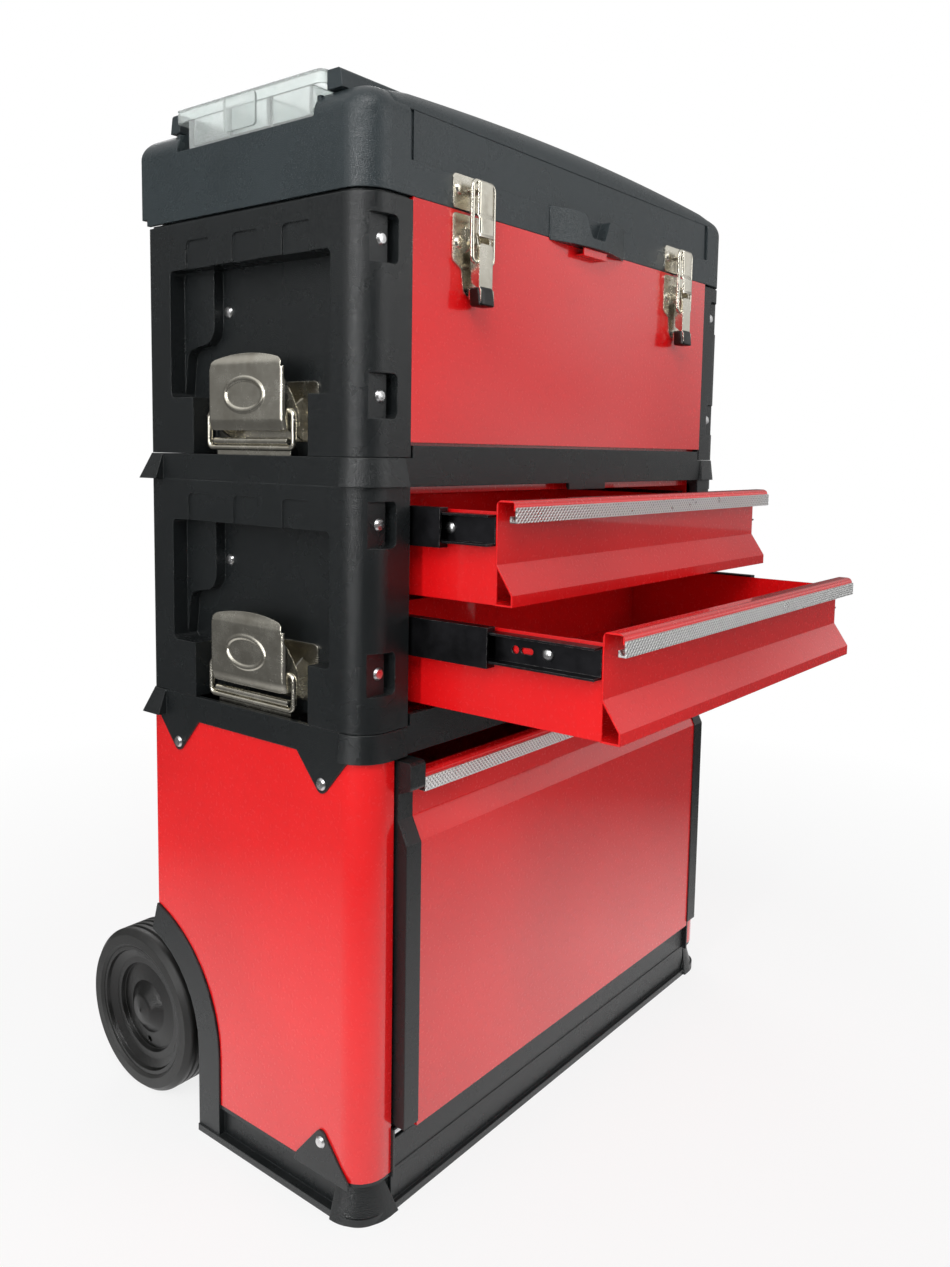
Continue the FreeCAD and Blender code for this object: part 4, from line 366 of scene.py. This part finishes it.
finishes = {
    "black_plastic": moulded_plastic("black_plastic_looks", colour(27, 30, 31), colour(76, 80, 80)),
    "lid_plastic": moulded_plastic("lid_plastic_looks", colour(46, 54, 57), colour(98, 106, 110)),
    "red_paint": gloss_paint("red_paint_looks", (0.86, 0.007, 0.009, 1), (0.7, 0.004, 0.006, 1)),
    "zinc_plate": plated_steel("zinc_plate_looks", (0.84, 0.81, 0.71, 1), (0.7, 0.66, 0.56, 1)),
    "rivet_steel": plated_steel("rivet_steel_looks", (0.82, 0.82, 0.82, 1), (0.7, 0.7, 0.7, 1), 0.22),
    "aluminium_strip": fluted_aluminium("aluminium_strip_looks"),
    "steel_tube": drawn_tube("steel_tube_looks", (0.8, 0.8, 0.82, 1), 0.12),
    "clear_plastic": clear_cover("clear_plastic_looks"),
    "wheel_plastic": moulded_plastic("wheel_plastic_looks", colour(15, 15, 14), colour(60, 60, 58),
                                     0.0009, 0.22, 0.00005),
    "tyre_rubber": soft_rubber("tyre_rubber_looks", colour(21, 21, 20), 0.42, 0.0001),
    "grip_rubber": soft_rubber("grip_rubber_looks", colour(36, 36, 37), 0.6, 0.0002),
    "button_plastic": gloss_paint("button_plastic_looks", (0.7, 0.012, 0.014, 1), (0.6, 0.01, 0.01, 1)),
}
black_slide = plated_steel("black_slide_looks", (0.045, 0.045, 0.05, 1), (0.03, 0.03, 0.033, 1), 0.3)

slots = {part["node"]: part["material_slot"] for part in frame["record"]["subparts"]}
for name, thing in nodes.items():
    thing.data.materials.clear()
    if "slide" in name:
        thing.data.materials.append(black_slide)
    else:
        thing.data.materials.append(finishes[slots[name]])


# Pieces worked out as surfaces

HALF, FRONT = 0.238, -0.108
MIDDLE_LOW, TOP_LOW, TOP_HIGH, LID_LOW, LID_HIGH = 0.3273, 0.499, 0.6575, 0.6578, 0.7185
LATCH_Y, LEVER_HALF = 0.003, 0.037
DRAW_X = 0.1405
WEB_X = 0.1857


def sheet_faces(rows, columns, round_rows=False, round_columns=False):
    """Corner numbers of every quad of a grid, wrapped where a direction closes on itself."""
    row = np.arange(rows if round_rows else rows - 1)[:, None]
    column = np.arange(columns if round_columns else columns - 1)[None, :]
    next_row = (row + 1) % rows
    next_column = (column + 1) % columns
    quads = np.stack([row * columns + column, row * columns + next_column,
                      next_row * columns + next_column, next_row * columns + column], axis=-1)
    return quads.reshape(-1, 4)


def make_piece(name, surfaces, finish, body, stands_for=()):
    """One piece from (points, faces) surfaces, with its finish, riding on a body of the frame."""
    points = []
    faces = []
    count = 0
    for grid, quads in surfaces:
        flat = grid.reshape(-1, 3)
        points.append(flat)
        faces.append(quads + count)
        count += len(flat)
    mesh = bpy.data.meshes.new(name)
    corners = np.concatenate(points).astype(np.float32)
    quads = np.concatenate(faces).astype(np.int32)
    mesh.vertices.add(len(corners))
    mesh.vertices.foreach_set("co", corners.ravel())
    mesh.loops.add(quads.size)
    mesh.loops.foreach_set("vertex_index", quads.ravel())
    mesh.polygons.add(len(quads))
    mesh.polygons.foreach_set("loop_start", np.arange(0, quads.size, 4, dtype=np.int32))
    mesh.polygons.foreach_set("use_smooth", np.ones(len(quads), dtype=bool))
    mesh.update(calc_edges=True)
    mesh.validate()
    mesh.materials.append(finishes[finish])
    piece = bpy.data.objects.new(name, mesh)
    bpy.context.scene.collection.objects.link(piece)
    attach(piece, body)
    if stands_for:
        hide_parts(*stands_for)
    return piece


def wall(piece, thickness, offset):
    """Gives a sheet its thickness and rounds its rim."""
    solid = piece.modifiers.new("wall", "SOLIDIFY")
    solid.thickness = thickness
    solid.offset = offset
    rim = piece.modifiers.new("rim", "BEVEL")
    rim.width = thickness * 0.3
    rim.segments = 2
    rim.limit_method = "ANGLE"
    rim.angle_limit = math.radians(55)


def rod(start, end, radius, sides=24, rings=5):
    """Round bar with domed ends: rings about a straight line whose radius falls to zero as a quarter
    circle over the last bit at each end."""
    start = np.array(start, dtype=float)
    end = np.array(end, dtype=float)
    line = (end - start) / np.linalg.norm(end - start)
    side = np.cross(line, (0.3, 0.5, 0.8))
    side /= np.linalg.norm(side)
    other = np.cross(line, side)
    bow = np.linspace(0, math.pi / 2, rings)
    cap = radius * 0.4
    length = np.linalg.norm(end - start)
    along = np.concatenate([cap * (1 - np.cos(bow)), length - cap * (1 - np.cos(bow[::-1]))])
    wide = radius * np.concatenate([np.sin(bow), np.sin(bow[::-1])])
    wide = np.maximum(wide, radius * 0.01)
    turn = np.linspace(0, 2 * math.pi, sides, endpoint=False)
    ring = np.cos(turn)[:, None] * side + np.sin(turn)[:, None] * other
    grid = start + along[:, None, None] * line + wide[:, None, None] * ring
    return grid, sheet_faces(len(along), sides, False, True)


def loop_wire(corners, bend, radius, sides=20, steps=8):
    """Closed wire through the corners of a flat loop: straight runs joined by quarter turns of the given
    radius, with a circle carried along it in the plane of the path's normal and the loop's own normal."""
    corners = np.array(corners, dtype=float)
    before = np.roll(corners, 1, axis=0) - corners
    after = np.roll(corners, -1, axis=0) - corners
    before /= np.linalg.norm(before, axis=1)[:, None]
    after /= np.linalg.norm(after, axis=1)[:, None]
    centre = corners + (before + after) * bend
    turn = np.linspace(0, math.pi / 2, steps)[None, :, None]
    outward = -after[:, None] * np.cos(turn) - before[:, None] * np.sin(turn)
    path = (centre[:, None] + outward * bend).reshape(-1, 3)
    outward = outward.reshape(-1, 3)
    flat = np.cross(corners[1] - corners[0], corners[2] - corners[1])
    flat /= np.linalg.norm(flat)
    circle = np.linspace(0, 2 * math.pi, sides, endpoint=False)[None, :, None]
    grid = path[:, None] + radius * (np.cos(circle) * outward[:, None] + np.sin(circle) * flat)
    return grid, sheet_faces(len(path), sides, True, True)


def soft_step(value, low, high):
    """Smooth rise from 0 to 1 between low and high."""
    share = np.clip((value - low) / (high - low), 0, 1)
    return share * share * (3 - 2 * share)


def make_side_lever(unit, side, low):
    """Pressed lever of a side latch.

    Across, each line runs in along a flange, round a bend of 2 mm, over the face and back along the
    other flange; the flange's depth changes with height. Upwards, the face leans in below a crease near
    its foot and above one near its head, whose edge is an arch with rounded corners. A smooth ridge
    follows an ellipse, which is the raised oval ring."""
    bend = 0.002
    across, upward = 150, 96
    share = np.linspace(-1, 1, across)[None, :]
    height = np.linspace(0, 1, upward)[:, None]
    flat = LEVER_HALF - bend
    corner_start = 0.031
    flange = 0.24
    on_face = np.clip(share / (1 - flange), -1, 1)
    past = np.clip((np.abs(share) - (1 - flange)) / flange, 0, 1)
    y_face = on_face * flat
    corner = np.clip((np.abs(y_face) - corner_start) / (LEVER_HALF - corner_start), 0, 1)
    head = low + 0.061 + 0.0052 * (1 - (y_face / LEVER_HALF) ** 2) - 0.006 * (1 - np.sqrt(1 - corner ** 2))
    head = np.where(past > 0, low + 0.0565, head)
    foot = low + 0.016 + 0.0022 * (1 - np.sqrt(1 - corner ** 2))
    z = foot + (head - foot) * height
    rise = z - low
    deep = np.interp(rise, [0.0155, 0.019, 0.027, 0.0365, 0.049, 0.06],
                     [0.0008, 0.0125, 0.0125, 0.008, 0.0009, 0.0009])
    length = np.where(deep < bend, bend * np.arccos(1 - np.minimum(deep, bend) / bend),
                      bend * math.pi / 2 + deep - bend)
    run = past * length
    angle = np.clip(run / bend, 0, math.pi / 2)
    y = np.sign(share) * (np.abs(y_face) + bend * np.sin(angle))
    inward = bend * (1 - np.cos(angle)) + np.maximum(run - bend * math.pi / 2, 0)
    lean = 0.0026 * soft_step(rise, 0.0575, 0.0665) + 0.0016 * soft_step(rise, 0.0235, 0.0155)
    lean = lean + 0.0004 * (y_face / flat) ** 2
    ring_middle, ring_half, ring_high = 0.0392, 0.0192, 0.0105
    reach = np.hypot(y / ring_half, (rise - ring_middle) / ring_high)
    far = (reach - 1) * np.hypot(y, rise - ring_middle) / np.maximum(reach, 0.05)
    ridge = 0.0009 * np.exp(-(far / 0.0011) ** 2) * (past == 0)
    dish = 0.0003 * soft_step(reach, 1.0, 0.8)
    out = HALF - lean - inward + ridge - dish * (past == 0)
    grid = np.stack([side * out, LATCH_Y + y, z + 0 * y], axis=-1)
    quads = sheet_faces(upward, across)
    if side > 0:
        quads = quads[:, ::-1]
    name = "left" if side < 0 else "right"
    lever = make_piece(f"pressed_lever_{unit}_{name}", [(grid, quads)], "zinc_plate",
                       f"{unit}_lever_{name}", [f"{unit}_lever_{name}"])
    wall(lever, 0.0011, -1)
    pin_x, pin_z = side * (HALF - 0.009), low + 0.022
    pins = [rod((pin_x, LATCH_Y + end * 0.0325, pin_z), (pin_x, LATCH_Y + end * 0.0376, pin_z), 0.0019)
            for end in (-1, 1)]
    make_piece(f"lever_pins_{unit}_{name}", pins, "zinc_plate", f"{unit}_lever_{name}")


def make_grip_tip(side):
    """Black grip tip of a front lever: rounded rectangles stacked upwards, each a superellipse in plan,
    wider and deeper towards the foot and closed at both ends."""
    low, high = TOP_HIGH - 0.0606, TOP_HIGH - 0.0474
    steps, sides = 26, 56
    height = np.linspace(0, 1, steps)
    end = np.minimum(height, 1 - height)
    close = np.sqrt(np.clip(1 - (1 - np.clip(end / 0.12, 0, 1)) ** 2, 0, 1))
    close[[0, -1]] = 0.002
    turn = np.linspace(0, 2 * math.pi, sides, endpoint=False)
    power = 0.42
    wide = np.sign(np.cos(turn)) * np.abs(np.cos(turn)) ** power
    deep = np.sign(np.sin(turn)) * np.abs(np.sin(turn)) ** power
    half_wide = (0.0076 - 0.0002 * height) * (0.55 + 0.45 * close)
    front = -0.1231 + 0.0018 * height ** 1.5
    rear = -0.1108 - 0.0012 * (1 - height)
    middle = (front + rear) / 2
    half_deep = (rear - front) / 2 * (0.55 + 0.45 * close)
    half_wide[[0, -1]] = 0.0001
    half_deep[[0, -1]] = 0.0001
    grid = np.empty((steps, sides, 3))
    grid[..., 0] = side * DRAW_X + half_wide[:, None] * wide
    grid[..., 1] = middle[:, None] + half_deep[:, None] * deep
    grid[..., 2] = (low + (high - low) * height)[:, None]
    name = "left" if side < 0 else "right"
    make_piece("grip_tip_" + name, [(grid, sheet_faces(steps, sides, False, True))], "wheel_plastic",
               "front_lever_" + name)


def make_front_hook(side):
    """Wire loop and sprung cover plate of a front latch.

    The cover is a strip whose line down the middle steps at a fold, and whose edges turn back by a
    quarter circle; its width is carried along that line."""
    x = side * DRAW_X
    wire_y = FRONT - 0.009
    foot, head = TOP_HIGH - 0.0325, LID_LOW + 0.018
    left, right = x - 0.011, x + 0.011
    wire = loop_wire([(left, wire_y, foot), (right, wire_y, foot), (right, wire_y, head),
                      (left, wire_y, head)], 0.004, 0.0015)
    name = "left" if side < 0 else "right"
    hook = "front_hook_" + name
    make_piece("latch_wire_" + name, [wire], "zinc_plate", hook, [hook])
    top = head + 0.0015
    run = np.linspace(0, 1, 64)[:, None]
    share = np.linspace(-1, 1, 40)[None, :]
    rise = top - 0.0365 * run
    curl = soft_step(run, 0.06, 0.0)
    fold = 0.0007 * np.exp(-((run - 0.63) / 0.02) ** 2) - 0.0009 * soft_step(run, 0.6, 0.66)
    edge = np.clip((np.abs(share) - 0.72) / 0.28, 0, 1)
    turned = edge * math.pi / 2
    radius = 0.0013
    flat = 0.0075 - radius
    y = FRONT - 0.0122 + 0.0032 * curl ** 2 + fold + 0.0005 * share ** 2 + radius * (1 - np.cos(turned))
    wide = np.sign(share) * (np.minimum(np.abs(share) / 0.72, 1) * flat + radius * np.sin(turned))
    tip = 0.0006 * soft_step(run, 0.93, 1.0)
    grid = np.stack([x + wide + 0 * run, y - tip, rise + 0 * share], axis=-1)
    cover = make_piece("latch_cover_" + name, [(grid, sheet_faces(64, 40)[:, ::-1])], "zinc_plate", hook)
    wall(cover, 0.0009, -1)


def make_lid_crest():
    """Crowned front edge of the lid.

    Upwards, each cross line is a quarter ellipse from the recessed front face to the top, then runs back
    level and falls into the lid behind; the line returns just under the lid's skin. The top's height
    follows a parabola along the lid, faded out towards the rounded corners, where the lines shrink."""
    stations, steps = 161, 28
    reach, rise, bow = 0.219, 0.0095, 0.24
    top_front, top_rear = -0.093, -0.070
    foot = LID_HIGH - 0.0095
    x = np.linspace(-reach, reach, stations)[:, None]
    to_end = reach - np.abs(x)
    crown = rise * (1 - (x / bow) ** 2) * soft_step(to_end, 0.0, 0.026)
    angle = np.linspace(0, math.pi / 2, steps)[None, :]
    back = np.linspace(top_front, top_rear, steps)[None, :]
    fall = soft_step(back, -0.086, top_rear)
    outer_y = np.concatenate([top_front - 0.0136 * np.cos(angle), back], axis=1)
    outer_z = np.concatenate([foot + (LID_HIGH - foot + crown) * np.sin(angle),
                              LID_HIGH + crown - (crown + 0.0008) * fall], axis=1)
    inner_y = np.concatenate([top_front - 0.0122 * np.cos(angle), back], axis=1)[:, ::-1]
    inner_z = np.concatenate([foot + 0.0078 * np.sin(angle), LID_HIGH - 0.0015 - 0 * back], axis=1)
    inner_z = inner_z[:, ::-1]
    y = np.repeat(np.concatenate([outer_y, inner_y], axis=1), stations, axis=0)
    z = np.concatenate([outer_z, np.repeat(inner_z, stations, axis=0)], axis=1)
    shrink = np.sqrt(np.clip(soft_step(to_end, 0.0, 0.006), 0.0001, 1))
    core_y, core_z = -0.096, LID_HIGH - 0.003
    y = core_y + (y - core_y) * shrink
    z = core_z + (z - core_z) * shrink
    grid = np.stack([x + 0 * y, y, z], axis=-1)
    make_piece("lid_crest", [(grid, sheet_faces(stations, 4 * steps, False, True)[:, ::-1])],
               "lid_plastic", "lid")


def turned(centre, way, radii, heights, sides=32):
    """Surface of revolution about a line along x: circles of the given radii at the given heights."""
    turn = np.linspace(0, 2 * math.pi, sides, endpoint=False)
    radii = np.array(radii)[:, None]
    grid = np.empty((len(radii), sides, 3))
    grid[..., 0] = centre[0] + way * np.array(heights)[:, None]
    grid[..., 1] = centre[1] + radii * np.cos(turn)
    grid[..., 2] = centre[2] + radii * np.sin(turn)
    quads = sheet_faces(len(radii), sides, False, True)
    return grid, quads if way > 0 else quads[:, ::-1]


def make_slide_rivets(level, y, z):
    """Domed rivets near the front of a drawer's inner slides: spherical caps on a short shank."""
    rise = np.linspace(0, math.pi / 2, 10)
    radii = np.concatenate([[0.00001, 0.0034], 0.0041 * np.cos(rise)])
    heights = np.concatenate([[-0.001, -0.001], 0.0002 + 0.0021 * np.sin(rise)])
    radii[-1] = 0.00001
    domes = [turned((side * WEB_X, y, z), side, radii, heights) for side in (-1, 1)]
    make_piece("slide_rivets_" + level, domes, "rivet_steel", level + "_drawer")


make_lid_crest()
make_slide_rivets("upper", -0.1314, 0.4562)
make_slide_rivets("lower", -0.2067, 0.3855)
for side in (-1, 1):
    make_side_lever("middle", side, MIDDLE_LOW)
    make_side_lever("top", side, TOP_LOW)
    make_grip_tip(side)
    make_front_hook(side)


# Studio: floor, world and lamps

def make_floor():
    """Flat square floor under the trolley."""
    reach = 6.0
    sheet = bpy.data.meshes.new("floor")
    sheet.from_pydata([(-reach, -reach, 0), (reach, -reach, 0), (reach, reach, 0), (-reach, reach, 0)], [],
                      [(0, 1, 2, 3)])
    floor = bpy.data.objects.new("floor", sheet)
    bpy.context.scene.collection.objects.link(floor)
    made = bpy.data.materials.new("floor_looks")
    made.use_nodes = True
    made.node_tree.nodes.clear()
    w = Wiring(made.node_tree)
    place = w.place()
    matt = w.node("ShaderNodeBsdfDiffuse")
    matt.inputs["Color"].default_value = (0.86, 0.86, 0.86, 1)
    white = w.node("ShaderNodeEmission")
    white.inputs["Color"].default_value = (1, 1, 1, 1)
    light = w.node("ShaderNodeLightPath")
    seen = w.math("MAXIMUM", light.outputs["Is Camera Ray"], light.outputs["Is Glossy Ray"])
    seen = w.math("MAXIMUM", seen, light.outputs["Is Transmission Ray"])
    # The sheet is white near the trolley, and what shines shows the dark room beyond it.
    away = w.vector_math("LENGTH", place)
    shining = w.math("MULTIPLY", light.outputs["Is Glossy Ray"], w.ramp(away, 0.3, 0.78))
    w.join(w.math("SUBTRACT", 1.0, w.math("MULTIPLY", shining, 0.9)), white.inputs["Strength"])
    share = w.math("MULTIPLY", seen, w.ramp(away, 0.45, 1.1, 0.82, 1.0))
    mixed = w.node("ShaderNodeMixShader")
    w.join(share, mixed.inputs[0])
    w.join(matt.outputs[0], mixed.inputs[1])
    w.join(white.outputs[0], mixed.inputs[2])
    out = w.node("ShaderNodeOutputMaterial")
    w.join(mixed.outputs[0], out.inputs["Surface"])
    sheet.materials.append(made)


def make_world():
    """White background for the camera, and a soft even sky for the light on the object."""
    world = bpy.data.worlds.new("studio")
    bpy.context.scene.world = world
    world.use_nodes = True
    world.node_tree.nodes.clear()
    w = Wiring(world.node_tree)
    light = w.node("ShaderNodeLightPath")
    parts = w.node("ShaderNodeSeparateXYZ")
    way = w.node("ShaderNodeTexCoord").outputs["Generated"]
    w.join(way, parts.inputs[0])
    # What shines shows a dark room: a cloudy screen at the front right, a dim one at the back left.
    across = w.math("SUBTRACT", w.math("MULTIPLY", parts.outputs["X"], 0.78),
                    w.math("MULTIPLY", parts.outputs["Y"], 0.62))
    clouds = w.noise(w.vector_math("ADD", way, (3.1, 0.7, 5.2)), 3.4, 2.0, 0.5)
    patchy = w.ramp(clouds, 0.36, 0.62, 0.25, 1.0)
    screen = w.math("MULTIPLY", w.ramp(across, 0.45, 0.92, 0.0, 0.8), patchy)
    dim = w.ramp(across, -0.4, -0.95, 0.0, 0.14)
    overhead = w.ramp(parts.outputs["Z"], 0.22, 0.7, 0.0, 0.7)
    room = w.math("ADD", w.math("MAXIMUM", w.math("MAXIMUM", screen, dim), overhead), 0.04)
    glossy = w.math("MAXIMUM", light.outputs["Is Glossy Ray"], light.outputs["Is Transmission Ray"])
    strength = w.math("ADD", w.math("MULTIPLY", glossy, room),
                      w.math("MULTIPLY", w.math("SUBTRACT", 1.0, glossy), 0.38))
    strength = w.math("MAXIMUM", strength, light.outputs["Is Camera Ray"])
    sky = w.node("ShaderNodeBackground")
    sky.inputs["Color"].default_value = (1, 1, 1, 1)
    w.join(strength, sky.inputs["Strength"])
    out = w.node("ShaderNodeOutputWorld")
    w.join(sky.outputs[0], out.inputs["Surface"])


def make_lamp(name, place, aim, width, height, power):
    """Soft box of the given size, aimed at a point."""
    lamp = bpy.data.lights.new(name, "AREA")
    lamp.shape = "RECTANGLE"
    lamp.size = width
    lamp.size_y = height
    lamp.energy = power
    thing = bpy.data.objects.new(name, lamp)
    bpy.context.scene.collection.objects.link(thing)
    thing.location = place
    thing.rotation_euler = (Vector(aim) - Vector(place)).to_track_quat("-Z", "Y").to_euler()


def make_camera():
    """Camera at the photograph's place and direction, from vanishing lines and known edges."""
    yaw, pitch, roll = 0.903, 0.102, 0.017
    ahead = Vector((math.sin(yaw) * math.cos(pitch), math.cos(yaw) * math.cos(pitch), -math.sin(pitch)))
    right = Vector((math.cos(yaw), -math.sin(yaw), 0))
    up = right.cross(ahead)
    turned_right = right * math.cos(roll) + up * math.sin(roll)
    turned_up = up * math.cos(roll) - right * math.sin(roll)
    camera = bpy.data.cameras.new("camera")
    camera.lens = 29.711
    camera.shift_y = -0.05945
    camera.clip_start = 0.02
    thing = bpy.data.objects.new("camera", camera)
    bpy.context.scene.collection.objects.link(thing)
    turn = Matrix((turned_right, turned_up, -ahead)).transposed().to_4x4()
    thing.matrix_world = Matrix.Translation((-0.688083, -0.546962, 0.503765)) @ turn
    bpy.context.scene.camera = thing


make_floor()
make_world()
lamps = [
    ("key_lamp", (-1.6, -1.3, 2.1), 0.4, 1.2, 1.2, 24),
    ("strip_lamp", (-2.6, -0.35, 1.0), 0.4, 0.2, 2.2, 24),
    ("side_lamp", (-2.2, 0.6, 1.0), 0.35, 1.0, 1.6, 6),
    ("front_lamp", (0.7, -2.3, 1.2), 0.35, 1.4, 1.2, 10),
    ("back_lamp", (1.2, 2.0, 1.6), 0.4, 1.4, 1.2, 12),
]
for name, place, aim_high, width, height, power in lamps:
    make_lamp(name, place, (0, 0, aim_high), width, height, power)
make_camera()
bpy.context.scene.view_settings.view_transform = "Standard"

bpy.context.view_layer.update()
